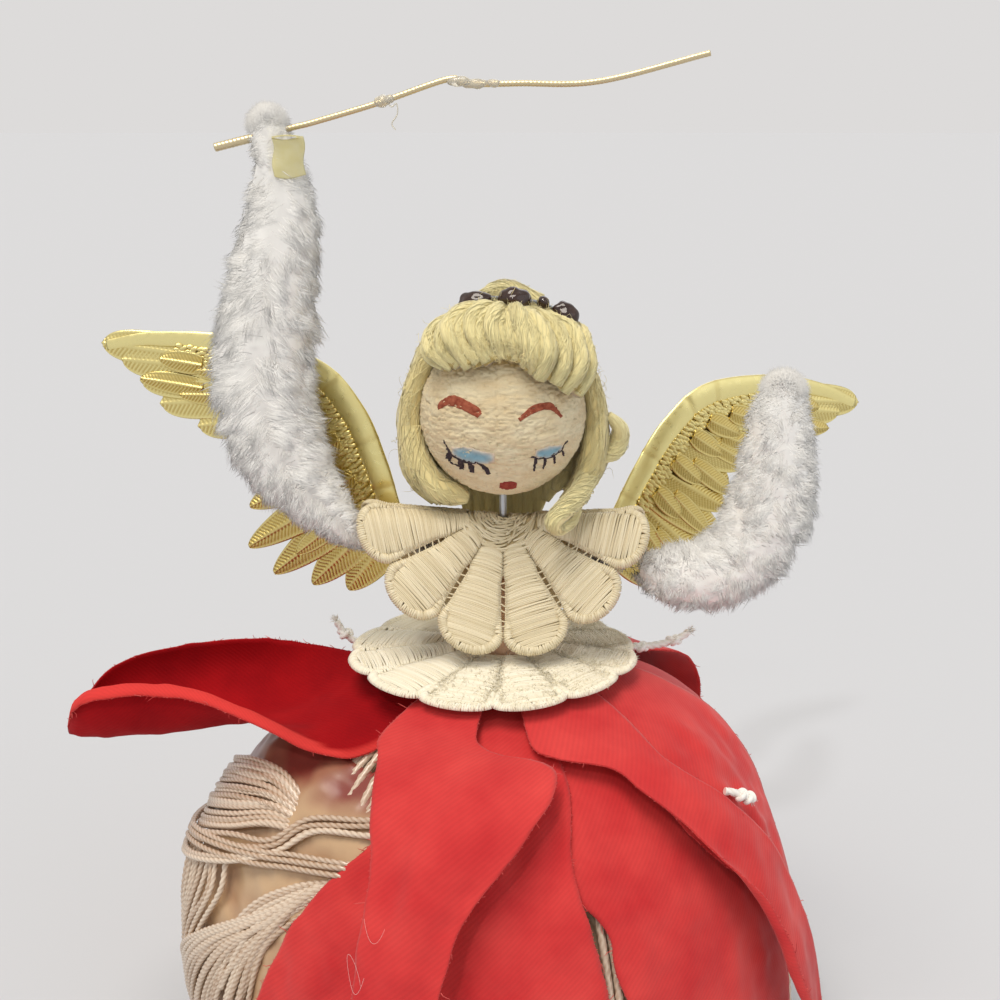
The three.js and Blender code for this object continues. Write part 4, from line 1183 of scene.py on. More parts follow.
    def hang(self, cut: PetalCut, seed: int) -> None:
        """Makes one petal that hangs over the skirt.

        Args:
            cut: Its sizes.
            seed: For its wrinkles.
        """
        bell = self.skirt.bell
        root, tip = bell.distance(self.root_radius), bell.length - cut.tip_up
        crowd = bell.distance(self.skirt.top_radius - self.skirt.diameter * 2)
        spring = bell.distance(self.spring_radius)
        distance = np.linspace(root, tip, self.rows)[:, None]
        across = np.linspace(-1, 1, self.columns)[None]
        part = (distance - root) / (tip - root)
        flat_edge = xyz(across * 0, distance, seed)
        ragged = 1 + 0.025 * grain(flat_edge * (1, 1, 3), 5, seed) + 0.012 * grain(flat_edge, 1.6, seed)
        around = bell.radius(distance)
        if cut.edges:
            low, high = (self.edge(distance, rows) for rows in cut.edges)
            half, middle = np.radians(high - low) / 2 * around * ragged, (low + high) / 2
        else:
            half, middle = self.outline(part, cut.width) * ragged, mix(*cut.turn, part)
        free = smoothstep(distance, spring, spring + self.spring_run)
        turned = middle + np.degrees(across * half / around)
        flat = xyz(np.radians(turned - middle.mean()) * around, distance, 0)
        over = self.skirt.rise(distance, turned) + self.skirt.diameter / 2 + self.gap + self.slack
        stacked = cut.layer * self.layer
        rise = mix(self.gap + stacked, over + stacked, smoothstep(distance, root, crowd))
        folds = cut.fold * (1 + np.sin(np.pi * (cut.folds * across + part)))
        rise = rise + self.thickness / 2 + free * (cut.stand + folds)
        creases = grain(flat * (1.6, 0.45, 1), 5.5, seed) + 0.5 * grain(flat, 2.6, seed + 3)
        rise = rise + free * cut.crease * (creases + 0.6)
        if cut.hem_curl:
            lip = np.clip((-across - 0.5) / 0.5, 0, 1) * smoothstep(part, 0.36, 0.6)
            rise = rise + cut.hem_curl * lip**1.5
            turned = turned + np.degrees(cut.hem_curl * 0.9 * lip**3 / around)
        grid = bell.off(distance, turned, rise)
        name = cut.node.replace("petal", "cotton_petal")
        self.finish(name, grid, flat, cut.node, seed)

    def trough(self) -> None:
        """Makes the petal that stands out at the angel's right like a trough."""
        length, dip, back_up, front_up, lip = 84.0, 8.3, 2.05, 2.2, 0.84
        widths = [(0, 3.2), (0.12, 8), (0.3, 16), (0.5, 21), (0.72, 23), (0.9, 18), (1, 3)]
        front_widths = [(0, 3.2), (0.1, 15), (0.2, 22), (0.28, 23.5), (0.38, 23), (0.5, 23.5), (0.72, 26),
                        (0.88, 27), (0.96, 20), (1, 4)]
        droop = [(0, 0), (0.1, 1.5), (0.22, 5), (0.28, 5.4), (0.36, 3.6), (0.47, 0), (0.6, 0), (1, 0)]
        outward = around_z(1.0, math.radians(-82), 0)
        frontward = np.array([-outward[1], outward[0], 0])
        part = np.linspace(0, 1, self.rows)[:, None]
        across = np.linspace(-1, 1, self.columns)[None]
        half = np.where(across < 0, 0.9 * self.edge(part, widths), self.edge(part, front_widths))
        bend = np.where(across < 0, back_up * smoothstep(part, 0.15, 0.6),
                        front_up * smoothstep(part, 0.3, 0.8))
        # The front edge folds over outwards
        flap = np.maximum(across - lip, 0) * half * smoothstep(part, 0.3, 0.45)
        reach = np.abs(across) * half - flap
        bend = np.maximum(bend * reach / half, 1e-3)
        span = np.sign(across) * reach * np.sin(bend) / bend + 0.85 * flap
        lift = reach * (1 - np.cos(bend)) / bend + 0.4 * np.sin(np.minimum(flap, np.pi)) - 0.35 * flap
        flat = xyz(across * half, part * length, 0)
        creases = grain(flat * (1.4, 0.4, 1), 6, 31) + 0.5 * grain(flat, 2.8, 32)
        fall = dip * smoothstep(part, 0.12, 0.5) + 2.5 * smoothstep(part, 0.5, 0.8)
        fall = fall + self.edge(part, droop) * np.maximum(across, 0) ** 1.6
        z = self.skirt.bell.waist + self.thickness / 2 - fall + lift
        z = z + 0.5 * smoothstep(part, 0.25, 0.5) * (creases + 0.6)
        out = self.root_radius + part * length
        grid = out[..., None] * outward + span[..., None] * frontward + xyz(0, 0, z)
        # Across the folded lip the colour runs back to the cloth's lit red: painted light on the rim, against
        # the painted shade of the rest
        rim_light = smoothstep(across - mix(0.12, 0, smoothstep(part, 0.3, 0.45)), 0.79, 0.84)
        # The whole trough takes the darker cloth, which paints in its shade
        self.finish("cotton_petal_right_curled", grid, flat, "petal_right_curled", 40, SHADED_COTTON, rim_light)

    def wisps(self) -> None:
        """Makes the fine white fibres that cling to the front petal's edge."""
        rng = np.random.default_rng(9)
        bag = MeshBag()
        bell = self.skirt.bell
        for _ in range(8):
            turns = np.linspace(0, rng.uniform(2, 7), 30) + rng.uniform(0, 6)
            size = rng.uniform(1.5, 5)
            distance = rng.uniform(58, 88) + size * np.sin(turns) + np.linspace(0, rng.uniform(0, 10), 30)
            turn = rng.uniform(-22, -17) + size * 0.5 * np.cos(turns * 0.8)
            rise = self.skirt.rise(distance, turn) + self.fibre_rise + 0.5 * np.sin(turns * 1.7)
            bag.tubes(bell.off(distance, turn, rise)[None], 0.028, 4, tone=rng.random())
        place(bag.build("clinging_fibres", WISP), Body.SKIRT, Slot.COTTON)

    def build(self) -> None:
        """Makes every petal."""
        for seed, cut in enumerate(self.cuts):
            self.hang(cut, seed + 50)
        self.trough()
        self.wisps()


@dataclass
class Lace:
    """A daisy of guipure lace: a thin ground, satin stitch on each petal, corded rims and thread bars."""

    radius: float = 31.0
    petals: int = 12
    cusp: float = 0.5
    sharp: float = 0.15
    join: float = 12.5
    slit: float = 0.55
    ground: float = 0.45
    hole: float = 1.05
    middle: float = 7.0

    def notch(self, reach: Array) -> Array:
        """How far a petal's edge lies from the middle of the slit beside it.

        Args:
            reach: Distance from the centre.

        Returns:
            Degrees at each distance.
        """
        part = np.clip((reach / self.radius - self.cusp) / (1 - self.cusp), 0, 1)
        curve = np.degrees(np.arcsin(part ** (1 / self.sharp))) * 2 / self.petals
        opened = np.degrees(self.slit * smoothstep(reach, self.join, self.join + 3) / reach)
        return np.minimum(np.maximum(curve, opened), 180 / self.petals)

    def surface(self, reach: Array, turn: Array) -> Array:
        """Points of the lace's underside, by distance from its centre and turn."""
        raise NotImplementedError

    def lifted(self, reach: Array, turn: Array, lift: Array) -> Array:
        """Points above the lace's underside.

        Args:
            reach: Distance from the centre, on the flat lace.
            turn: Degrees round it.
            lift: Height above the underside.

        Returns:
            The points.
        """
        step = 0.02
        here = self.surface(reach, turn)
        outward = self.surface(reach + step, turn) - self.surface(reach - step, turn)
        sideways = self.surface(reach, turn + step) - self.surface(reach, turn - step)
        square = unit(np.cross(outward, sideways))
        square = np.where(self.upside(square, turn), square, -square)
        return here + square * np.asarray(lift)[..., None]

    def upside(self, square: Array, turn: Array) -> Array:
        """Whether a direction leaves the lace's upper side."""
        return square[..., 2:] > 0

    def sheet(self, bag: MeshBag) -> None:
        """Adds the thin ground: a middle ring and a tongue for each petal.

        Args:
            bag: Where it goes.
        """
        turn = np.degrees(circle(120))[None]
        reach = np.linspace(self.hole, self.join, 8)[:, None]
        bag.slab(self.lifted(reach, turn, 0.0), self.lifted(reach, turn, self.ground), True)
        wide = 360 / self.petals
        rows = mix(self.join - 0.8, self.radius * 0.9995, np.linspace(0, 1, 40) ** 0.6)[:, None]
        for petal in range(self.petals):
            turn = (petal + 0.5) * wide + (wide / 2 - self.notch(rows)) * np.linspace(-1, 1, 17)
            bag.slab(self.lifted(rows, turn, 0.02), self.lifted(rows, turn, self.ground))

    def outline(self, start: float) -> Array:
        """One petal's edge on the flat lace, from a slit round its tip to the next slit.

        Args:
            start: The first slit's turn, in degrees.

        Returns:
            The places, out from the centre.
        """
        reach = mix(self.join + 0.6, self.radius * 0.9998, np.linspace(0, 1, 300) ** 0.5)
        near = start + self.notch(reach)
        turn = np.concatenate([near, 2 * start + 360 / self.petals - near[::-1]])
        return heading(turn) * np.concatenate([reach, reach[::-1]])[:, None]

    def threads(self, bag: MeshBag, seed: int) -> None:
        """Adds the satin stitches, rims, bars and crossing threads.

        Args:
            bag: Where they go.
            seed: For their unevenness.
        """
        rng = np.random.default_rng(seed)
        wide = 360 / self.petals
        rows = np.arange(max(self.hole, self.middle) + 0.8, self.radius - 1.3, 0.32)
        n = len(rows)
        share = np.linspace(0, 1, 11)
        for petal in range(self.petals):
            start = petal * wide
            inset = mix(0.12, 1.0, smoothstep(rows, self.radius * 0.7, self.radius * 0.86))
            edge = np.minimum(self.notch(rows) + np.degrees(inset / rows), wide / 2 - 0.4)
            sag = rng.normal(0.7, 0.1, (n, 1)) * (2 * share - 1) ** 2 + rng.normal(0, 0.1, (n, 1)) * share
            turn = start + edge[:, None] + (wide - 2 * edge[:, None]) * share
            lift = self.ground + 0.08 + 0.5 * np.sin(np.pi * share) ** 0.5 + rng.normal(0, 0.04, (n, 1))
            bag.tubes(self.lifted(rows[:, None] + sag, turn, lift), 0.22, 5, tone=rng.uniform(0.5, 1, n))
            line = even(self.outline(start), 100)
            along = unit(np.gradient(line, axis=0))
            side = beside(along)[:, None]
            tip = smoothstep(np.linalg.norm(line, axis=1), self.radius * 0.72, self.radius * 0.9)[:, None]
            span = mix(np.linspace(-0.95, 0.02, 6), np.linspace(-1.3, 0.5, 6), tip)
            slant = rng.normal(0, 0.15, (100, 1))
            flat = line[:, None] + side * span[..., None] + along[:, None] * (slant * span)[..., None]
            high = self.ground * 0.35 + mix(0.3, 1.0, tip) * np.sin(np.linspace(0.3, np.pi - 0.05, 6)) ** 0.7
            turn = np.degrees(np.arctan2(flat[..., 1], flat[..., 0]))
            rim = self.lifted(np.linalg.norm(flat, axis=-1), turn, high)
            bag.tubes(rim, 0.29, 5, tone=rng.uniform(0.55, 1, 100))
            bars = np.arange(self.join + 1.5, self.radius * 0.84, 1.5)
            bars = bars + rng.normal(0, 0.25, len(bars))
            aside = (np.degrees(0.7 / bars) + self.notch(bars))[:, None] * np.linspace(-1, 1, 5)
            reach = bars[:, None] + rng.normal(0, 0.5, (len(bars), 1)) * np.linspace(-1, 1, 5)
            bag.tubes(self.lifted(reach, start + aside, 0.3), 0.17, 5, tone=0.7)
        count, share = 220, np.linspace(-1, 1, 9)
        reach = rng.uniform(self.hole + 0.5, max(self.hole + 1, self.middle + 2.5), (count, 1))
        reach = np.maximum(reach + rng.normal(0, 0.5, (count, 1)) * share, self.hole + 0.3)
        turn = rng.uniform(0, 360, (count, 1)) + rng.uniform(14, 34, (count, 1)) * share
        lift = self.ground + 0.1 + rng.uniform(0.1, 0.5, (count, 1)) * (1 - share**2)
        bag.tubes(self.lifted(reach, turn, lift), 0.24, 5, tone=rng.uniform(0.45, 1, count))

    def make(self, name: str, node: str, seed: int, held: str, rests: str, thread: Finish) -> None:
        """Builds the ground and the threads.

        Args:
            name: The piece's name.
            node: The CAD node that it replaces.
            seed: For its unevenness.
            held: How the sheet is held; not used.
            rests: What it lies on; not used.
            thread: The finish of its stitches.
        """
        ground, threads = MeshBag(), MeshBag()
        self.sheet(ground)
        self.threads(threads, seed)
        base = place(ground.build(name, LACE_GROUND), Body.SKIRT, Slot.LACE, node)
        stitches = place(threads.build(f"{name}_stitches", thread), Body.SKIRT, Slot.LACE)


@dataclass
class Collar(Lace):
    """The daisy folded over the shoulders like a little cape."""

    top: float = 125.8
    fold: float = 5.5
    front: float = 66.0
    back: float = 82.0
    lift_right: float = 0.1
    lift_left: float = 0.05

    def surface(self, reach: Array, turn: Array) -> Array:
        """Points of the folded lace's underside.

        Args:
            reach: Distance from the centre, on the flat lace.
            turn: Degrees round it.

        Returns:
            The points.
        """
        angle = np.radians(turn)
        x, forward = -reach * np.cos(angle), reach * np.sin(angle)
        bend = np.radians(np.where(forward > 0, self.front, self.back))
        arc = self.fold * bend
        curl = np.minimum(np.abs(forward), arc) / self.fold
        rest = np.maximum(0, np.abs(forward) - arc)
        out = self.fold * np.sin(curl) + rest * np.cos(bend)
        down = self.fold * (1 - np.cos(curl)) + rest * np.sin(bend)
        lift = np.abs(x) * np.where(x < 0, self.lift_right, self.lift_left)
        return np.stack([x, -np.sign(forward) * out, self.top + lift - down], -1)

    def upside(self, square: Array, turn: Array) -> Array:
        """Whether a direction leaves the outer side of the cape."""
        facing = -np.sign(np.sin(np.radians(turn)))[..., None]
        return square[..., 2:] * 0.7 + square[..., 1:2] * facing > 0


@dataclass
class Peplum(Lace):
    """The same lace round the waist, nearly flat and fluffy from wear."""

    height: float = 97.4
    fall: float = 0.1
    wave: float = 0.5
    hole: float = 8.9
    cusp: float = 0.8
    sharp: float = 0.12
    slit: float = 0.12
    aside: float = -2.2

    def surface(self, reach: Array, turn: Array) -> Array:
        """Points of the flat lace's underside.

        Args:
            reach: Distance from the centre, on the flat lace.
            turn: Degrees round it.

        Returns:
            The points.
        """
        angle = np.radians(turn)
        wave = self.wave * np.sin(3 * angle) * (reach - self.hole) / (self.radius - self.hole)
        z = self.height - self.fall * (reach - self.hole) + wave
        aside = self.aside * (reach - self.hole) / (self.radius - self.hole)
        return np.stack([aside - reach * np.cos(angle), -reach * np.sin(angle), z], -1)

    def fuzz(self) -> None:
        """Makes the fluff that wear raised over the front petals."""
        rng = np.random.default_rng(12)
        count = 22000
        reach = np.sqrt(rng.uniform(0.1, 1, count)) * self.radius
        inside = rng.uniform(-1, 1, count) * (180 / self.petals - self.notch(reach) * 0.9)
        turn = (rng.integers(0, 7, count) + 2.5) * 360 / self.petals + inside
        foot = self.lifted(reach, turn, self.ground + 0.3)
        lean = rng.normal(0, 1, (count, 3)) * (1, 1, 0.35) + (0, -0.2, 0.35)
        curl = np.cumsum(rng.normal(0, 0.18, (count, 3, 3)), axis=1)
        long = rng.uniform(0.4, 1.1, count)
        paths = hairs(foot, unit(lean), long, np.linspace(0, 1, 3)) + curl * long[:, None, None]
        bag = MeshBag()
        bag.tubes(paths, np.linspace(0.09, 0.04, 3), 3, True, rng.uniform(0.2, 1, count))
        place(bag.build("peplum_fluff", LACE_NAP), Body.SKIRT, Slot.LACE)


@dataclass
class Torso:
    """The felt body and the wire spine."""

    base: float = 89.3
    height: float = 36.2
    waist: float = 8.6
    bore: float = 1.05
    wire_foot: float = 82.8
    wire_top: float = 149.2

    def felt(self) -> None:
        """Makes the felt body with its nap."""
        rng = np.random.default_rng(3)
        knots = [(self.bore, self.height), (1.6, self.height - 0.2), (3.1, self.height - 1.5),
                 (4.1, self.height - 3.1), (6.0, self.height - 9), (self.waist - 0.3, self.height * 0.2),
                 (self.waist - 0.2, 1), (self.waist - 0.5, 0)]
        profile = spline(knots, 50)
        angle = circle(64)
        outer = around_z(profile[:, :1], angle, profile[:, 1:] + self.base)
        inner = around_z(self.bore, angle, outer[::-1, :, 2])
        bag = MeshBag()
        bag.skin(np.concatenate([outer, inner[1:-1]]), looped=True)
        count = 2600
        row, column = rng.integers(6, 48, count), rng.integers(0, 64, count)
        foot = outer[row, column]
        away = unit(foot * (1, 1, 0) + rng.normal(0, 5, (count, 3)))
        paths = hairs(foot, away, rng.uniform(0.3, 0.8, count), np.linspace(0, 1, 4))
        bag.tubes(paths, np.linspace(0.08, 0.04, 4), 3, True)
        place(bag.build("felt_body", FELT), Body.SKIRT, Slot.FELT, "torso")

    def spine(self) -> None:
        """Makes the steel wire from under the crown up into the head."""
        foot = self.wire_foot
        knots = [(9, 0, foot), (3, 0, foot), (0.9, 0, foot + 0.9), (0, 0, foot + 3), (0, 0, foot + 5),
                 (0, 0, self.base + self.height), (0, 0, self.wire_top)]
        bag = MeshBag()
        bag.tubes(even(spline(knots, 120), 120)[None], 0.75, 16, tone=0.8)
        place(bag.build("spine_wire_bent", STEEL), Body.SKIRT, Slot.STEEL, "spine_wire")

    def build(self) -> None:
        """Makes the felt and the wire."""
        self.felt()
        self.spine()


@dataclass
class Arm:
    """A chenille arm: cut pile between two twisted wires, parted in front and brushed towards the shoulder."""

    name: str
    node: str
    body: Body
    shoulder: tuple[float, float, float]
    rows: list[tuple[float, float, float, float]]
    tufts: int
    seed: int
    hairs: int = 40
    spread: float = 1.3
    lobe: float = 0.45
    brush: float = 0.28
    comb: float = 0.4
    knob: float = 1.6
    parting: float = 0.6
    full: float = 0.92

    def __post_init__(self) -> None:
        """Works out the middle of the arm, its thickness, and the ways that its parting and its sides face."""
        rows = np.array(self.rows)
        knots = np.array(self.shoulder) + rows[:, :3] * (np.sign(self.shoulder[0]), 1, 1)
        line = even(spline(np.concatenate([knots, rows[:, 3:]], 1), 400), 300)
        self.middle, self.radius = line[:, :3], line[:, 3]
        self.way = unit(np.gradient(self.middle, axis=0))
        forward = np.array([0, -1.0, 0.27])
        self.front = unit(forward - np.sum(forward * self.way, -1, keepdims=True) * self.way)
        self.side = np.cross(self.way, self.front)

    def wadding(self, bag: MeshBag) -> None:
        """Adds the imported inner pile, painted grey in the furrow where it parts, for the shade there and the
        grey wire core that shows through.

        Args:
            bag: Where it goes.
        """
        middle, radius = self.middle, self.radius
        rise = np.linspace(0, np.pi / 2, 9)[1:]
        beyond = (np.sin(rise) * (radius[-1] * 0.7 + self.knob))[:, None]
        line = np.concatenate([middle, middle[-1] + unit(middle[-1] - middle[-2]) * beyond])
        thick = np.concatenate([radius, radius[-1] * np.maximum(np.cos(rise), 0.04)])
        front, side = (np.concatenate([face, np.repeat(face[-1:], 8, 0)])[:, None]
                       for face in (self.front, self.side))
        turn = np.linspace(-np.pi, np.pi, 120, endpoint=False)
        furrow = np.exp(-((turn / 0.30) ** 2))[None] * np.linspace(1, 0.2, len(line))[:, None] * self.parting
        ring = np.cos(turn)[:, None] * front + np.sin(turn)[:, None] * side
        spots = line[:, None] + ring * thick[:, None, None]
        lumps = grain(spots, 3.2, self.seed + 9) + 0.6 * grain(spots, 1.3, self.seed + 10)
        reach = thick[:, None] * (self.full - 0.1 - 0.2 * furrow) + 0.5 * lumps
        # Grey in the furrow: partly the wire core that shows there, partly painted shade
        tone = np.clip(0.92 + 0.08 * lumps - 0.5 * furrow, 0, 1)
        bag.skin(line[:, None] + ring * reach[..., None], tone=tone, facing=ring)

    def pile(self, bag: MeshBag) -> None:
        """Adds the outer pile in tufts, which lean away from the parting and towards the shoulder.

        Args:
            bag: Where it goes.
        """
        rng = np.random.default_rng(self.seed)
        middle, radius, way = self.middle, self.radius, self.way
        weight = radius + 1.5
        spot = rng.choice(len(middle), self.tufts, p=weight / weight.sum())
        angle = rng.uniform(-np.pi, np.pi, self.tufts)
        swing = np.sign(angle) * self.comb * np.cos(angle / 2) ** 2 + rng.normal(0, 0.22, self.tufts)
        lean = self.brush * (1 - smoothstep(spot / len(middle), 0.8, 0.97)) + rng.normal(0, 0.13, self.tufts)
        reach = radius[spot] * np.clip(self.full + rng.normal(0, 0.06, self.tufts), 0.5, 1.12)
        shade = rng.normal(0, 0.06, self.tufts)
        of = np.repeat(np.arange(self.tufts), self.hairs)
        off = rng.normal(0, 1, (len(of), 2))
        share = np.array([0, 0.55, 1.0])
        gather = mix(1.0, 0.4, share) * self.spread
        turned = (angle[of, None] + swing[of, None] * share
                  + off[:, :1] * gather / np.maximum(radius[spot][of, None], 2.0))[..., None]
        front, side, forth = (face[spot][of][:, None] for face in (self.front, self.side, way))
        out = np.cos(turned) * front + np.sin(turned) * side
        tangent = np.cos(turned) * side - np.sin(turned) * front
        far = reach[of, None] * mix(0.72, 1.06, share**0.8) * (1 + rng.normal(0, 0.05, (len(of), 1)))
        along = off[:, 1:] * gather - share**1.5 * lean[of, None] * reach[of, None]
        paths = middle[spot][of][:, None] + far[..., None] * out + along[..., None] * forth
        # Each tuft shades as a rounded lobe
        facing = unit(out + self.lobe * (off[:, :1, None] * tangent + off[:, 1:, None] * forth) + (0, 0, 0.3))
        tip = rng.normal(0, 1, (len(of) // 8, 3))
        tip = unit(np.where(np.sum(tip * way[-1], -1, keepdims=True) < -0.2, -tip, tip))
        knob = middle[-1] + self.knob * way[-1] + tip[:, None] * (radius[-1] * mix(0.6, 1.06, share))[:, None]
        paths = np.concatenate([paths, knob])
        facing = np.concatenate([facing, np.broadcast_to(tip[:, None], knob.shape)])
        shade = np.concatenate([shade[of], np.zeros(len(tip))])
        paths = paths + np.cumsum(rng.normal(0, 0.2, paths.shape), axis=1) * share[None, :, None]
        # Each hair is painted darker towards its root, as shade deep in the pile
        tone = np.clip(mix(0.78, 1.0, share)[None] + (shade + rng.normal(0, 0.05, len(paths)))[:, None], 0, 1)
        bag.tubes(paths, np.array([0.075, 0.065, 0.02]), 3, True, tone, facing=facing)

    def build(self) -> None:
        """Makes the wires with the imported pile, and the tufts over it."""
        inner, outer = MeshBag(), MeshBag()
        core = even(self.middle, 160)
        _, across, up = (block[0] for block in frames(core[None]))
        turn = np.linspace(0, 2 * np.pi * 26, 160)
        for half in (0, np.pi):
            wound = core + 0.5 * (np.cos(turn + half)[:, None] * across + np.sin(turn + half)[:, None] * up)
            inner.tubes(wound[None], 0.5, 6, tone=0.4, slot=1)
        self.wadding(inner)
        self.pile(outer)
        place(inner.build(self.name, PILE, CORE), self.body, Slot.CHENILLE, self.node)
        tufts = place(outer.build(self.name + "_pile", PILE), self.body, Slot.CHENILLE)
        # Hairs this fine let the light through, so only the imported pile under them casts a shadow
        tufts.visible_shadow = False
        tufts.visible_diffuse = False


@dataclass
class ShoulderStem:
    """The short chenille stem that joins both arms inside the felt body."""

    core: float = 0.9
    hidden: float = 8.0
    hairs: int = 3600

    def build(self) -> None:
        """Makes its core and short pile."""
        rng = np.random.default_rng(21)
        knots = [(-26.5, 1.5, 121), (-8.6, 2.9, 117), (0, 2.9, 117), (8.6, 2.9, 117), (26.5, 1.5, 114.8)]
        middle = even(spline(knots, 200), 200)
        bag = MeshBag()
        bag.tubes(middle[None], self.core, 8, tone=0.3, slot=1)
        count = self.hairs
        spot = rng.integers(2, 198, count)
        way = unit(np.gradient(middle, axis=0))[spot]
        out = rng.normal(0, 1, (count, 3))
        out = unit(out - np.sum(out * way, -1, keepdims=True) * way)
        share = np.linspace(0.1, 1, 4)
        reach = np.where(np.abs(middle[spot, 0]) < self.hidden, 1.5, rng.uniform(1.2, 2.6, count))
        # Each hair is painted darker towards its root, as shade deep in the pile
        bag.tubes(hairs(middle[spot], out, reach, share), np.linspace(0.13, 0.06, 4), 3, True,
                  np.broadcast_to(share, (count, 4)))
        place(bag.build("shoulder_chenille", PILE, CORE), Body.SKIRT, Slot.CHENILLE, "shoulder_stem")


@dataclass
class Wand:
    """The foil-wound wand, its glue and the paper tab at the hand."""

    grip: tuple[float, float, float] = (-46.2, -1.5, 205.5)
    line: list[tuple[float, float]] = field(default_factory=lambda: [
        (-11, -2.7), (-5, -1.23), (0, 0), (5, 1.23), (9, 2.2), (21.6, 5.8), (35.4, 10.3), (39, 9.4),
        (49.5, 9.5), (65, 9.9), (86.6, 15.2)])
    pitch: float = 0.8

    def path(self, count: int) -> Array:
        """The middle of the wand."""
        knots = np.array([(self.grip[0] + x, self.grip[1], self.grip[2] + z) for x, z in self.line])
        return even(spline(knots, 600), count)

    def rod(self) -> None:
        """Makes the wound thread, thicker at its lower end, where a dark disc paints the shade inside its
        hollow, with dried glue on it.
        """
        rng = np.random.default_rng(17)
        line = self.path(560)
        run = np.linspace(0, run_along(line)[-1], len(line))
        sides = 14
        base = mix(0.86, 0.6, smoothstep(run, 9.5, 14))
        wound = np.cos(circle(sides) - 2 * np.pi * run[:, None] / self.pitch)
        bag = MeshBag()
        bag.tubes(line[None], (base[:, None] * (1 + 0.035 * wound))[None], sides, tone=0.75)
        # A thin dark disc over the lower end paints the shade inside its hollow
        end = line[0] + unit(line[0] - line[1]) * np.array([[0], [0.06]])
        bag.tubes(end[None], 0.62, sides, slot=1)
        for along, long, wide in ((0.345, 1.7, 1.15), (0.36, 1.0, 0.9), (0.505, 2.2, 1.1), (0.535, 3.0, 0.95),
                                  (0.57, 1.4, 0.8)):
            spot = line[int(along * len(line))]
            height = np.linspace(0.02, np.pi - 0.02, 16)[:, None]
            turn = circle(20)
            ball = xyz(-np.cos(height) * long, np.sin(height) * np.cos(turn) * wide,
                       np.sin(height) * np.sin(turn) * wide)
            ball = ball * (1 + 0.22 * grain(ball + spot, 1.1, 8))[..., None] + spot + (0, -0.15, 0.1)
            bag.skin(ball, slot=2)
        root = line[int(0.35 * len(line))]
        curl = root + spline([(0, 0, 0), (1.2, -0.8, -1.2), (2.2, -0.8, -0.6), (2.3, -0.6, -2.6),
                              (1.2, -0.4, -4.4), (1.9, -0.4, -5.6)], 40)
        bag.tubes(curl[None], 0.13, 6, slot=2, tone=rng.random())
        place(bag.build("wound_wand", WOUND_FOIL, SHADED_HOLLOW, GLUE), Body.WAND, Slot.WAND, "wand")

    def tab(self) -> None:
        """Makes the yellowed paper tab on the hand."""
        row = np.linspace(0, 1, 30)[:, None]
        column = np.linspace(0, 1, 24)[None]
        aside = 1.2 + column * 5.8 + 0.25 * np.sin(row * 7)
        back = 1.9 * column**2 - 0.8 * (1 - row) ** 4 - 4.5 + 0.2 * np.sin(row * 5 + column * 3)
        down = -0.8 - row * 7.4 - 0.4 * np.sin(column * 4)
        grid = xyz(aside, back, down) + self.grip
        square = normals(grid)
        bag = MeshBag()
        bag.slab(grid - square * 0.18, grid + square * 0.18)
        lip = xyz(1.2 + np.linspace(0, 1, 20) * 5.6, np.linspace(-5.6, -4.2, 8)[:, None],
                  -0.7 + 0.35 * np.sin(np.linspace(0, 3, 20))) + self.grip
        bag.slab(lip - (0, 0, 0.15), lip + (0, 0, 0.15))
        place(bag.build("paper_tab", PAPER), Body.RAISED_ARM, Slot.PAPER, "wand_tab")

    def build(self) -> None:
        """Makes the wand and the tab."""
        self.rod()
        self.tab()


class Paint(Enum):
    """The face's paints, in the order of its finishes."""

    BROW = 0
    LASH = 1
    LID = 2
    LIP = 3


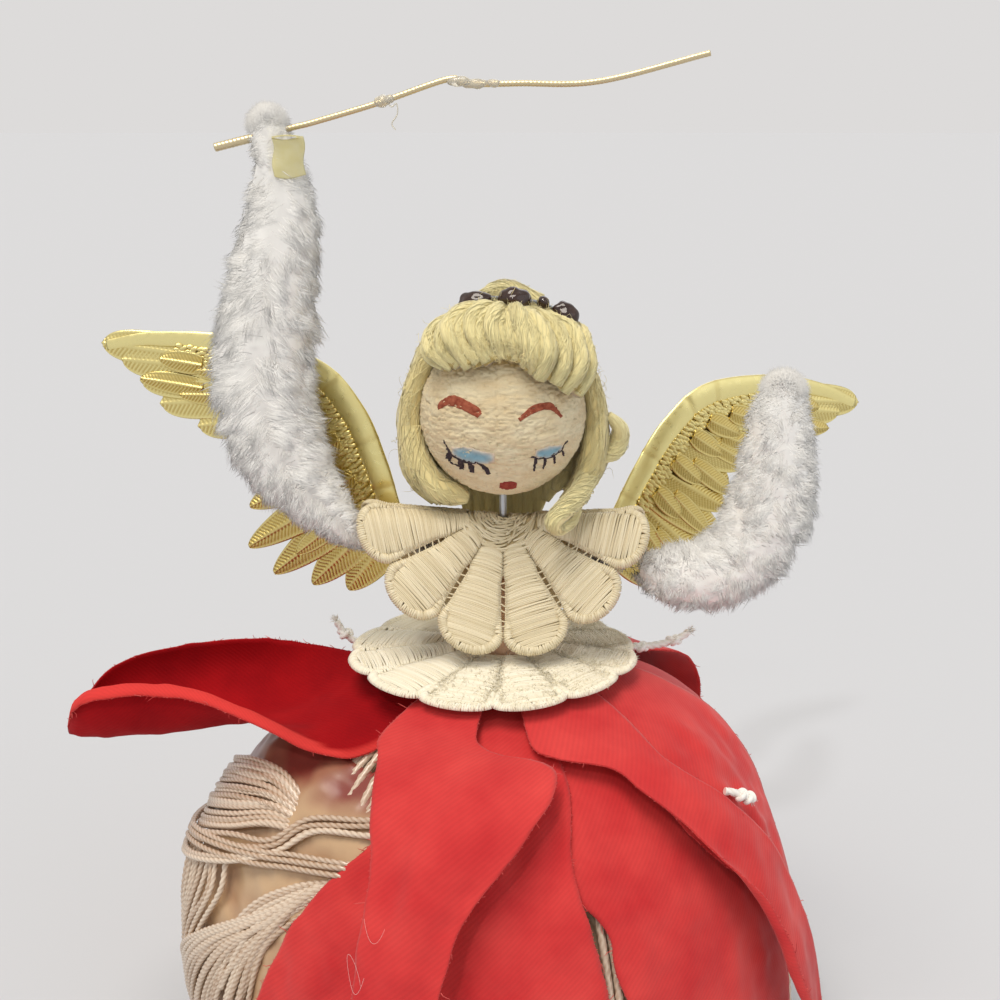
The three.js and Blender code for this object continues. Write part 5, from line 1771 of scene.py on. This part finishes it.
@dataclass
class Head:
    """The spun-cotton ball and its painted face."""

    middle: tuple[float, float, float] = (0.0, 0.0, 149.2)
    radius: float = 17.5
    bore: float = 1.05
    # Paint, turn and height in degrees along the stroke, and its widths
    strokes: list[tuple[Paint, list, list]] = field(default_factory=lambda: [
        (Paint.BROW, [(-50.5, 9.6), (-43, 14.8), (-34, 16.0), (-20, 11.5), (-15.7, 8)],
         [1.0, 1.8, 2.2, 2.0, 1.3]),
        (Paint.BROW, [(10.3, 5.6), (20, 11.8), (30, 13.4), (36, 11.4), (42.2, 4.8)],
         [0.8, 1.4, 1.5, 1.3, 0.6]),
        (Paint.LID, [(-38.5, -18.5), (-23, -20.4), (-6, -21.5)], [2.2, 4.2, 2.2]),
        (Paint.LID, [(23, -18.8), (34, -18.9), (45.5, -16.4)], [1.8, 3.2, 1.5]),
        (Paint.LASH, [(-44.6, -11.2), (-42.8, -17.5), (-36.5, -22.7), (-28.2, -25.2), (-18.6, -25.4)],
         [0.3, 0.7, 0.9, 0.9, 0.5]),
        (Paint.LASH, [(-39.1, -20.7), (-42.5, -22.6), (-46.3, -26.6)], [1.0, 1.5, 1.2]),
        (Paint.LASH, [(-32, -23.6), (-33.8, -28.4), (-36.1, -33.8)], [1.1, 1.4, 1.0]),
        (Paint.LASH, [(-24.8, -24.8), (-25.2, -29.6), (-26, -34.8)], [1.0, 1.4, 1.0]),
        (Paint.LASH, [(-17.6, -25.3), (-14.4, -29.8), (-11.5, -34.9)], [0.8, 1.1, 0.9]),
        (Paint.LASH, [(-44.4, -28.1), (-39.4, -30.6), (-34, -31.7)], [0.4, 0.4, 0.3]),
        (Paint.LASH, [(20.1, -21.2), (28.1, -22.8), (37.4, -22), (45, -19), (49.6, -12.4)],
         [0.4, 0.7, 0.7, 0.6, 0.3]),
        (Paint.LASH, [(24.7, -22.3), (24.7, -27.6), (25.2, -33.2)], [0.6, 0.7, 0.3]),
        (Paint.LASH, [(32.3, -22.9), (32.8, -27.4), (33.6, -32.5)], [0.6, 0.7, 0.3]),
        (Paint.LASH, [(39.3, -22.3), (41.6, -26), (44, -29.8)], [0.6, 0.6, 0.3]),
        (Paint.LASH, [(46.7, -19.3), (49, -22.1), (51.4, -24.9)], [0.5, 0.5, 0.3]),
        (Paint.LIP, [(-3.6, -49), (0.5, -49.3), (5.3, -49.4), (10, -49.4), (14.2, -49.2)],
         [1.6, 3.0, 3.5, 3.0, 1.6]),
    ])

    def at(self, turn: Array, height: Array, lift: Array | float = 0.0) -> Array:
        """Points over the ball.

        Args:
            turn: Degrees from the front towards +X.
            height: Degrees above the ball's middle.
            lift: Distance off the ball.

        Returns:
            The points.
        """
        turn, height = np.radians(turn), np.radians(height)
        reach = self.radius + np.asarray(lift)
        return around_z(reach * np.cos(height), turn, reach * np.sin(height)) + self.middle

    def relief(self, points: Array) -> Array:
        """The wadding's wrinkles, which run round the ball.

        Args:
            points: Places on the ball.

        Returns:
            How far the surface stands off the ball at each.
        """
        total = 0.07 * grain(points * (1, 1, 2.3), 4.2, 2)
        for size, depth, seed in ((2.6, 0.2, 3), (1.5, 0.26, 4), (1.0, 0.2, 5)):
            total = total - depth * np.exp(-((grain(points * (0.75, 0.75, 2.2), size, seed) / 0.13) ** 2))
        return total

    def ball(self) -> None:
        """Makes the ball with the wire's hole."""
        edge = math.degrees(math.asin(self.bore / self.radius))
        heights = np.linspace(89.6, -90 + edge, 240)
        turn = np.linspace(0, 360, 360, endpoint=False)[None]
        outer = self.at(turn, heights[:, None])
        away = unit(outer - self.middle)
        outer = outer + away * self.relief(outer)[..., None]
        bore = around_z(self.bore, np.radians(turn), np.linspace(132.5, 149.5, 8)[:, None])
        bag = MeshBag()
        bag.skin(np.concatenate([outer, bore]))
        place(bag.build("cotton_ball", SPUN_COTTON), Body.HEAD, Slot.HEAD, "head_ball")

    def stroke(self, bag: MeshBag, knots: list[tuple[float, float]], widths: list[float], slot: int) -> None:
        """Adds one brush stroke that follows the ball.

        Args:
            bag: Where it goes.
            knots: Turn and height along it, in degrees.
            widths: Its width at each of some places along it, in millimetres.
            slot: Its paint.
        """
        middle = self.at(*spline(knots, 30).T)
        along = unit(np.gradient(middle, axis=0))
        side = np.cross(unit(middle - self.middle), along)
        wide = np.interp(np.linspace(0, 1, 30), np.linspace(0, 1, len(widths)), widths)
        wide = wide * (1 + 0.12 * grain(middle, 0.9, 6))
        across = np.linspace(-1, 1, 9)
        spots = middle[:, None] + side[:, None] * (wide[:, None] / 2 * across)[..., None]
        away = unit(spots - self.middle)
        ground = self.middle + away * (self.radius + self.relief(self.middle + away * self.radius))[..., None]
        film = 0.09 + 0.06 * (1 - across**4)[None, :, None]
        ends = np.abs(np.linspace(-1, 1, 30))[:, None] ** 6
        tone = np.clip(np.abs(across)[None] ** 2.5 + ends, 0, 1)
        bag.slab(ground - away * 0.08, ground + away * film, tone=tone, slot=slot)

    def face(self) -> None:
        """Paints the brows, lids, lashes and lips."""
        bag = MeshBag()
        for paint, knots, widths in self.strokes:
            self.stroke(bag, knots, widths, paint.value)
        face = bag.build("painted_face", BROW_PAINT, LASH_PAINT, LID_PAINT, LIP_PAINT)
        place(face, Body.HEAD, Slot.HEAD)

    def build(self) -> None:
        """Makes the ball and paints it."""
        self.ball()
        self.face()


@dataclass
class Wig:
    """The wool wig: a fringe rolled over the brow, straight sides and back, a curl and a loop on top."""

    head: Head
    fringe: list[tuple[float, float, float, float]] = field(default_factory=lambda: [
        (-58, 38, 2.0, 2.6), (-45, 44, 4.2, 5.0), (-9, 55, 4.4, 6.1), (34, 48, 4, 5.9), (56, 32, 2.6, 3.6),
        (64, 22, 1.6, 2)])
    swept_right: list = field(default_factory=lambda: [
        [(-18, 77, 4.5), (-66, 53, 5.4), (-66, 42, 5.4), (-58, 37, 4.6), (-46, 35, 2.4)],
        [(-7, 77, 5), (-34, 67, 7), (-38, 56, 7.2), (-30, 47, 6.2), (-19, 38, 2.6)],
        [(4, 77, 5), (2, 63, 7), (-3, 56, 7), (0, 50, 5.6), (5, 44, 2.6)]])
    swept_left: list = field(default_factory=lambda: [
        [(8, 77, 5), (7, 60, 7), (8, 52, 6.6), (9, 47, 5.2), (12, 42, 2.4)],
        [(30, 75, 5.5), (28, 56, 7.3), (29, 46, 7), (28, 37, 5.8), (26, 30, 2.6)],
        [(58, 69, 5.5), (73, 49, 6.2), (66, 38, 6), (58, 27, 5), (49, 17, 2.4)]])

    def yarn(self, bag: MeshBag, path: Array, radius: Array, strands: int, twist: float, seed: int,
             shade: float = 1.0) -> None:
        """Adds one soft yarn: a filled middle under fine fibres that wind along it.

        Args:
            bag: Where it goes.
            path: The yarn's middle.
            radius: Its radius along the path.
            strands: How many fibres cover it.
            twist: Turns for each millimetre.
            seed: For the fibres.
            shade: How pale the fibres are, at most 1; less paints shade on locks that lie under others or at
                the sides.
        """
        rng = np.random.default_rng(seed)
        count = len(path)
        line = path[None]
        _, across, up = (block[0] for block in frames(line))
        run = run_along(path)
        # The filled middle is painted a little darker than its fibres, as shade under them
        bag.tubes(line, radius * 0.93, 12, tone=0.78 * shade)
        start = rng.uniform(0, 2 * np.pi, (strands, 1))
        turn = start + 2 * np.pi * twist * run + rng.normal(0, 0.6, (strands, 1)) * np.linspace(-1, 1, count)
        turn = turn + 0.5 * np.sin(run / rng.uniform(1.2, 4, (strands, 1)) + start * 5)
        away = radius * (rng.normal(0.93, 0.06, (strands, 1)) + rng.normal(0, 0.025, (strands, count)))
        facing = np.cos(turn)[..., None] * across + np.sin(turn)[..., None] * up
        bag.tubes(path + away[..., None] * facing, 0.1, 3, tone=rng.uniform(0.82, 1, strands) * shade,
                  facing=facing + (0, 0, 0.4))

    def over(self, rows: list, count: int) -> Array:
        """A smooth line through places over the head, each a turn, a height and a lift."""
        return spline(self.head.at(*np.array(rows, float).T), count)

    def lock(self, bag: MeshBag, rows: list, strands: int, twist: float, seed: int, count: int = 26,
             shade: float = 1.0) -> None:
        """Adds one lock along places over the head.

        Args:
            bag: Where it goes.
            rows: Turn, height, lift and radius for each knot.
            strands: How many fibres cover it.
            twist: Turns for each millimetre.
            seed: For the fibres.
            count: Points along it.
            shade: How pale the fibres are, at most 1; less paints shade on locks that lie under others or at
                the sides.
        """
        turn, height, lift, radius = spline(rows, count).T
        self.yarn(bag, self.head.at(turn, height, lift), radius, strands, twist, seed, shade)

    def front(self) -> None:
        """Makes the fringe, in thick locks that come over the brow and tuck under."""
        rng = np.random.default_rng(30)
        bag = MeshBag()
        swell = 0.72 + 0.34 * np.sin(np.pi * np.linspace(0.05, 0.95, 26))
        for guides, count, thick in ((self.swept_right, 9, 1.4), (self.swept_left, 7, 1.8)):
            for layer in range(2):
                rows = spline(np.array(guides, float).reshape(3, -1), count + layer).reshape(-1, 5, 3)
                for k, knots in enumerate(rows):
                    knots = knots + rng.normal(0, 1, knots.shape) * (1.2, 0.8, 0.25)
                    knots[1:4, 2] += (0.55 if k % 2 else -0.35) - 2.0 * layer
                    # The lower layer is painted darker, as shade under the top locks
                    self.yarn(bag, self.over(knots, 26), thick * swell, 100, 0.03,
                              300 + 40 * count + 20 * layer + k, 1 - 0.6 * layer)
        # The roll under the locks is painted dark, as shade
        turn, height, lift, radius = spline(self.fringe, 40).T
        bag.tubes(self.head.at(turn, height, lift - 1.8)[None], radius[None] * 0.55, 12, tone=0.3)
        place(bag.build("wool_fringe", WOOL), Body.HEAD, Slot.WOOL, "hair_fringe")

    def behind(self) -> None:
        """Makes the rest of the wig: a base over the scalp, the hanging locks and the curl in front."""
        rng = np.random.default_rng(40)
        bag = MeshBag()
        turn = np.linspace(98, 262, 60)[None]
        height = np.linspace(88, -30, 40)[:, None]
        grid = self.head.at(turn, height, 0.3)
        # The base over the scalp is painted dark, as shade under the locks
        bag.slab(grid, self.head.at(turn, height, 2.4), tone=0.3, flat=unit(grid - self.head.middle))
        for side in (-1, 1):
            for k in range(8):
                sway = rng.uniform(-2, 2)
                turn0 = side * (88 + 8.5 * k)
                tuck = mix(0.92, 0.8, min(k / 4, 1))
                low = -56 + k - 2 * math.sin(k)
                flare = mix(4.4, 6.2, min(k / 3, 1))
                swell = 0.5 * math.sin(k * 1.7)
                rows = [(turn0 * 0.7, 70, 2.6, 1.5), (turn0 * 0.94, 44, 1.8, 2.0),
                        (turn0 + sway, 14, 1.6, 2.2),
                        (turn0 * mix(1, tuck, 0.25), -14, mix(1.6, flare, 0.3) + swell, 2.4),
                        (turn0 * mix(1, tuck, 0.6), -35, flare, 2.6),
                        (turn0 * tuck - sway, low, flare + 0.8, 0.9)]
                # The side locks are painted a little darker, as the shade they hang in
                self.lock(bag, rows, 90, 0.012, 400 + 10 * k + side, shade=0.8)
        for k in range(12):
            turn0 = 125 + 10 * k
            aside = smoothstep(abs(turn0 - 180), 22, 58)
            rows = [(turn0, 84, 3.2, 1.8), (turn0, 52, 4.2, 2.5), (turn0 + 2, 16, 4.4, 2.8),
                    (turn0 - 1, -18, 4.6, 2.8), (turn0 + 1, -38, 4.8, 2.6),
                    (turn0, mix(-56, -46, aside), mix(7.6, 5.2, aside), 2.4),
                    (turn0, mix(-67, -54, aside) - math.sin(k * 2), mix(13, 6, aside), 0.7)]
            self.lock(bag, rows, 80, 0.012, 520 + k)
        # This lock is painted a little darker too, as shade at the side
        self.lock(bag, [(-86, -8, 1.9, 2.2), (-82, -26, 2.8, 2.6), (-77, -42, 3.4, 2.8), (-73, -50, 3.4, 2.8),
                        (-71, -58, 2.6, 2.4), (-69, -66, 2.2, 1.2)], 90, 0.02, 540, shade=0.9)
        for k in range(7):
            turn0 = -66 + 22 * k
            rows = [(turn0, 60, 4.6), (turn0 * 0.9, 76, 4.6), (turn0 * 0.5 + 180, 84, 4.2)]
            self.yarn(bag, self.over(rows, 20), np.full(20, 2.2), 80, 0.02, 560 + k)
        self.lock(bag, [(96, -30, 3.5, 2.4), (76, -40, 5.4, 2.4), (50, -46, 7.2, 2.2), (38, -50, 8.8, 1.9),
                        (44, -53, 10.0, 1.6), (55, -51, 9.6, 1.3), (62, -47, 8.4, 0.8)], 90, 0.05, 600, 48)
        self.lock(bag, [(90, -2, 4.6, 0.8), (93, -9, 7.4, 1.7), (95, -15, 8.0, 2.1), (93, -21, 7.6, 1.8),
                        (90, -28, 5.4, 0.7)], 80, 0.05, 601)
        place(bag.build("wool_back", WOOL), Body.HEAD, Slot.WOOL, "hair_back")

    def top(self) -> None:
        """Makes the loop of yarn behind the beads."""
        bag = MeshBag()
        for k, lift in enumerate((0, 1.6, 0.4)):
            rows = [(-60 - 8 * k, 73, 4 + lift), (150 + 20 * k, 86, 6.2 + lift), (100 + 6 * k, 70, 4.6 + lift)]
            self.yarn(bag, self.over(rows, 26), np.full(26, 1.9), 90, 0.04, 620 + k)
        place(bag.build("wool_top_loop", WOOL), Body.HEAD, Slot.WOOL, "hair_top_knot")

    def fuzz(self) -> None:
        """Makes the fine stray hairs all over the wig."""
        rng = np.random.default_rng(71)
        count = 5600
        side = rng.uniform(0, 1, count) < 0.5
        turn = np.where(side, rng.uniform(-62, 64, count), rng.uniform(70, 290, count))
        height = np.where(side, rng.uniform(34, 90, count), rng.uniform(-48, 88, count))
        low = np.where(height > -14, 2.4, 4.6)
        lift = np.where(side, rng.uniform(5.6, 7.6, count), low + rng.uniform(0, 1.5, count))
        foot = self.head.at(turn, height, lift)
        away = unit(foot - self.head.middle)
        share = np.linspace(0, 1, 7)
        long = np.where(rng.random(count) < 0.12, rng.uniform(2.2, 5.0, count), rng.uniform(0.5, 1.7, count))
        lean = unit(away * 0.25 + rng.normal(0, 0.6, (count, 3)))
        aside = unit(np.cross(lean, rng.normal(0, 1, (count, 3))))
        third = np.cross(lean, aside)
        turns = (rng.uniform(3, 8, (count, 1)) * share)[..., None]
        loop = 0.22 * (np.sin(turns) * aside[:, None] + (1 - np.cos(turns)) * third[:, None])
        paths = foot[:, None] + long[:, None, None] * (lean[:, None] * share[None, :, None] * 0.8 + loop)
        bag = MeshBag()
        bag.tubes(paths, np.linspace(0.05, 0.03, 7), 3, True, rng.uniform(0.6, 1, count),
                  facing=np.broadcast_to(away[:, None], paths.shape))
        place(bag.build("wool_stray_hairs", WOOL), Body.HEAD, Slot.WOOL)

    def build(self) -> None:
        """Makes the whole wig."""
        self.front()
        self.behind()
        self.top()
        self.fuzz()


@dataclass
class Tiara:
    """Brown glass beads on a wire over the fringe."""

    head: Head
    lobes: float = 0.13

    def bead(self, bag: MeshBag, spot: Array, way: Array, long: float, wide: float, seed: int) -> None:
        """Adds one bead with its hole.

        Args:
            bag: Where it goes.
            spot: Its middle.
            way: The direction of its hole.
            long: Its length along the hole.
            wide: Its width.
            seed: For its lumps.
        """
        across = unit(np.cross(way, (0.1, 0.2, 1.0)))
        up = np.cross(way, across)
        height = np.linspace(0.22, np.pi - 0.22, 36)
        turn = circle(44)
        r = np.concatenate([np.sin(height) * wide / 2, [0.5, 0.5]])
        x = np.concatenate([-np.cos(height) * long / 2, [long * 0.36, -long * 0.36]])
        rings = spot + x[:, None, None] * way + r[:, None, None] * (
            np.cos(turn)[None, :, None] * across + np.sin(turn)[None, :, None] * up)
        swell = 1 + self.lobes * grain(rings, 1.3, seed)
        bag.skin(spot + (rings - spot) * swell[..., None], looped=True)

    def build(self) -> None:
        """Makes the four beads, lumpy from the press."""
        rows = {"bead_right": (-50, 72.5, 7.2, 7.2, 4.2), "bead_middle": (18, 73.5, 7.7, 6.8, 5.2),
                "bead_spacer": (53, 67, 7.9, 2.8, 2.8), "bead_left": (66, 57, 7.4, 5.6, 5.4)}
        spots = np.array([self.head.at(*row[:3]) for row in rows.values()])
        ways = unit(np.gradient(spots, axis=0))
        for i, (node, row) in enumerate(rows.items()):
            bag = MeshBag()
            self.bead(bag, spots[i], ways[i], row[3], row[4], i)
            place(bag.build(f"glass_{node}", GLASS), Body.HEAD, Slot.GLASS, node)
        dress_node("tiara_wire", STEEL)


@dataclass
class Wing:
    """One stamped wing: a smooth leading band, rows of small scales, two rows of coverts and long quills."""

    node: str
    side: int
    sweep: float
    drop: float
    root: tuple[float, float, float] = (14.3, 10.208, 113.12)
    span: float = 77.0
    fan: float = -58.0
    foil: float = 0.24
    parts: tuple[float, ...] = (0, 0.18, 0.36, 0.48, 0.58, 0.7, 0.85, 1)
    lengths: tuple[float, ...] = (37, 33, 26, 21, 22, 30, 27, 18)

    def __post_init__(self) -> None:
        """Draws the leading edge and the line of the quills' roots."""
        self.bag = MeshBag()
        edge = [(0, 0), (7.8, 9), (13, 22), (19, 33.5), (29, 42.5), (48, 46), (self.span - 11, 45),
                (self.span, 42)]
        self.edge = even(spline(edge, 400), 201)
        t = np.linspace(0, 1, 201)[:, None]
        a, b, c = np.array([self.span - 37, 40]), np.array([18, 33]), np.array([10, 7])
        self.bases = (1 - t) ** 2 * a + 2 * t * (1 - t) * b + t**2 * c

    def quill_angle(self, part: float) -> float:
        """The way a quill points, from the tip's at 0 to the root's at 1."""
        return mix(2.0, self.fan, part**1.3)

    def world(self, flat: Array, relief: Array) -> Array:
        """Places in the model.

        Args:
            flat: Places on the flat wing, out and up.
            relief: Height towards the front.

        Returns:
            The points.
        """
        drop, sweep = math.radians(self.side * self.drop), math.radians(self.side * self.sweep)
        x, y, z = self.side * flat[..., 0], -relief, flat[..., 1]
        x, z = x * math.cos(drop) + z * math.sin(drop), z * math.cos(drop) - x * math.sin(drop)
        x, y = x * math.cos(sweep) - y * math.sin(sweep), x * math.sin(sweep) + y * math.cos(sweep)
        return xyz(x, y, z) + (self.side * self.root[0], self.root[1], self.root[2])

    def pressed(self, flat: Array, relief: Array, tone: Array) -> None:
        """Adds a stamped sheet whose back shows the same relief."""
        self.bag.slab(self.world(flat, relief - self.foil), self.world(flat, relief), tone=tone)

    @staticmethod
    def leaf(base: Array, angle: float, along: Array, across: Array) -> Array:
        """Places on the flat wing, by how far they lie along a feather and across it."""
        way = heading(angle)
        return base + along[..., None] * way - across[..., None] * beside(way)

    @staticmethod
    def at_parts(line: Array, parts: Array) -> Array:
        """The places at parts of a line's length."""
        return np.stack([np.interp(parts, np.linspace(0, 1, len(line)), line[:, i]) for i in (0, 1)], -1)

    def feather(self, base: Array, angle: float, length: float, width: float, lift: float,
                square: float = 0.0, pitch: float = 0.85, lap: float = 0.2, smooth: float = 0.0) -> None:
        """Adds one feather with a midrib, a raised rim and slanting barbs.

        Args:
            base: Its root on the flat wing.
            angle: The way it points, in degrees.
            length: How long it is.
            width: How wide.
            lift: Its height over the back of the wing.
            square: How square its end is, from 0 for a leaf to 1.
            pitch: Spacing of the barbs.
            lap: How much one side lies over the next feather.
            smooth: How far the barbs fade on the feather's upper half, from 0 to 1.
        """
        rows = max(14, int(length / 0.2))
        s = np.linspace(0, 1, rows)[:, None]
        c = np.linspace(-1, 1, 21)[None]
        leaf = np.maximum(0.08, np.sin(np.pi * (0.2 + 0.795 * s)) ** 0.55)
        blunt = np.clip(0.55 + 2.2 * s, 0, 1) * np.sqrt(np.clip(1 - (s * 0.985) ** 9, 0, 1))
        half = width / 2 * mix(leaf, np.maximum(blunt, 0.12), square)
        sweep = 0.9 * square * (1 - np.abs(c)) * s**6
        flat = self.leaf(base, angle, s * length + sweep, c * half)
        barb = np.sin(2 * np.pi * (s * length - 0.8 * np.abs(c) * half) / pitch)
        vane = smoothstep(np.abs(c), 0.08, 0.2) * (1 - smoothstep(np.abs(c), 0.74, 0.86))
        vane = vane * np.where(c > 0, 1 - smooth, 1)
        midrib = np.exp(-((c / 0.1) ** 2)) * (1 - 0.5 * s)
        rim = np.exp(-(((np.abs(c) - 0.92) / 0.09) ** 2))
        crown = 0.4 * (1 - c**2)
        relief = lift + crown + 0.36 * midrib + 0.22 * rim + 0.15 * barb * vane - lap * c
        # Painted highlight and shade: lighter on the raised midrib, rim and barbs, darker in the hollows,
        # towards the root and on the rounder feathers
        tone = mix(0.3, 0.6, square) + 0.4 * midrib + 0.36 * rim + 0.34 * barb * vane - 0.2 * (1 - s) ** 3
        self.pressed(flat, relief, np.clip(tone, 0, 1))

    def field(self) -> None:
        """Adds the foil under the feathers, hammered with fine lines."""
        p = np.linspace(0, 1, 90)
        edge, base = self.at_parts(self.edge, p), self.at_parts(self.bases, 1 - p)
        reach = mix(8.0, 16.0, p)[:, None] * heading(self.quill_angle(1 - p))
        edge = edge + beside(unit(np.gradient(edge, axis=0))) * 0.5
        flat = mix(edge[:, None], (base + reach)[:, None], np.linspace(0, 1, 40)[:, None])
        deep = np.concatenate([flat, flat[..., :1] * 0], -1)
        relief = 0.3 + 0.16 * grain(deep, 1.3, 3) + 0.1 * np.sin(flat[..., 0] * 3.2 + flat[..., 1] * 1.4)
        self.pressed(flat, relief, 0.35 + 0.4 * grain(deep, 1.3, 3))

    def band(self) -> None:
        """Adds the smooth crescent along the leading edge, with small creases across it."""
        p = np.linspace(0, 1, 150)
        edge = self.at_parts(self.edge, p)
        inward = beside(unit(np.gradient(edge, axis=0)))
        width = self.band_width(p)
        c = np.linspace(0, 1, 22)
        flat = edge[:, None] + inward[:, None] * (width[:, None] * c)[..., None]
        creases = np.zeros(150)
        for spot in (0.12, 0.2, 0.31, 0.47, 0.56, 0.7):
            creases += np.exp(-(((p - spot) / 0.006) ** 2))
        bow = np.sin(np.pi * np.clip(c * 0.96 + 0.02, 0, 1)) ** 0.3
        relief = 0.5 + 1.15 * bow[None] * np.clip(width[:, None] / 6, 0.4, 1) - 0.2 * creases[:, None]
        # Painted shade: darker in the creases and towards the band's edges
        tone = np.clip(0.95 - 0.25 * creases[:, None] - 0.25 * (1 - bow[None]), 0, 1)
        self.pressed(flat, relief, tone)

    @staticmethod
    def band_width(part: Array | float) -> Array | float:
        """The smooth band's width along the leading edge."""
        return 1.8 + 3.9 * np.sin(np.pi * np.clip(0.2 + 0.76 * part, 0, 1)) ** 1.1

    def scales(self) -> None:
        """Adds the rough strip of tiny feathers beside the band."""
        for row, (inset, count) in enumerate(((-0.3, 62), (0.6, 62), (1.5, 60), (2.4, 56))):
            for i in range(count):
                part = mix(0.08, 0.84, (i + 0.5 * (row % 2)) / count)
                base = self.inward(part, self.band_width(part) + inset)
                angle = self.quill_angle(1 - part) + 14 * math.sin(i * 2.7 + row)
                s = np.linspace(0, 1, 7)[:, None]
                c = np.linspace(-1, 1, 7)[None]
                half = 0.55 * np.sin(np.pi * (0.15 + 0.78 * s)) ** 0.6
                flat = self.leaf(base, angle, s * 1.7, c * half)
                relief = 1.15 + 0.2 * (1 - c**2) + 0.16 * s - 0.06 * row
                # Painted highlight: each scale is lighter on its crown towards its tip
                self.pressed(flat, relief, np.clip(0.5 + 0.45 * (1 - c**2) * s, 0, 1))

    def inward(self, part: float, depth: float) -> Array:
        """The place this far in from the leading edge, at a part of its length."""
        index = min(200, int(part * 200))
        return self.edge[index] + beside(unit(np.gradient(self.edge, axis=0))[index]) * depth

    def build(self) -> None:
        """Stamps the wing."""
        self.field()
        quills = 12
        for i in range(quills):
            part = i / (quills - 1)
            base = self.bases[int(part * 200)]
            length = float(np.interp(part, self.parts, self.lengths))
            square = float(1 - smoothstep(part, 0.3, 0.62))
            self.feather(base, self.quill_angle(part), length, mix(8.2, 9.4, part), 0.3 + 0.12 * (i % 3),
                         square, 0.95, smooth=0.5 * square)
        for count, inset, length, lift in ((7, 9.5, 14, 0.95), (8, 4.4, 9.5, 1.3)):
            for i in range(count):
                part = mix(0.16, 0.78, i / (count - 1))
                base = self.inward(part, self.band_width(part) * 0.7 + inset)
                self.feather(base, mix(-56, 20, part), length, 5.0, lift, 0.25, 0.8, 0.15, 0.5)
        self.scales()
        self.band()
        place(self.bag.build(f"stamped_{self.node}", FOIL), Body.SKIRT, Slot.FOIL, self.node)


# Each arm's middle, out from the shoulder, back and up, with its radius
RAISED_ARM = [(0, 0, 0, 2.8), (6.8, -2.2, 6.5, 5.5), (15.6, -3, 18.5, 9.3), (19.6, -3, 35, 10.9),
              (17.6, -3, 51.5, 9.7), (14.6, -3, 67.5, 7.8), (15.2, -3, 79, 4.9), (16.2, -3, 84.5, 4.2)]
LOW_ARM = [(0, 0, 0, 3.2), (8, -1.5, -1.8, 7.2), (19.2, -2.5, 1.2, 9), (25.8, -3, 10.8, 9.7),
           (27.4, -3, 21.8, 8.9), (27.8, -3, 32.6, 7.2), (28.2, -3, 38.5, 5.0)]


def main() -> None:
    """Builds the stage and every sub-assembly in order."""
    logging.basicConfig(level=logging.INFO, format="%(name)s: %(message)s")
    Stage().build()
    skirt = CordSkirt(Bell())
    skirt.build()
    Petals(skirt).build()
    Torso().build()
    ShoulderStem().build()
    Collar().make("lace_collar", "collar", 5, "draped", "felt_body", LACE)
    peplum = Peplum()
    peplum.make("lace_peplum", "peplum", 6, "laid", "cotton_petal_front_right", LACE_NAP)
    peplum.fuzz()
    Arm("chenille_raised_arm", "raised_arm", Body.RAISED_ARM, (-30, 1.5, 121), RAISED_ARM, 1100, 81).build()
    Arm("chenille_low_arm", "low_arm", Body.LOW_ARM, (30, 1.5, 114.8), LOW_ARM, 900, 91,
        brush=0.14, comb=0.2, parting=0.15, full=0.88, knob=0.2).build()
    Wand().build()
    head = Head()
    head.build()
    Wig(head).build()
    Tiara(head).build()
    Wing("wing_right", -1, 6, -5, parts=(0, 0.27, 0.36, 0.5, 0.64, 0.73, 0.82, 0.91, 1),
         lengths=(37, 35, 30, 24, 30, 35, 33, 26, 18.6)).build()
    Wing("wing_left", 1, 27, 9, span=74.0, fan=-42.0).build()
    dress_node("wing_strap", FOIL)


if __name__ == "__main__":
    main()
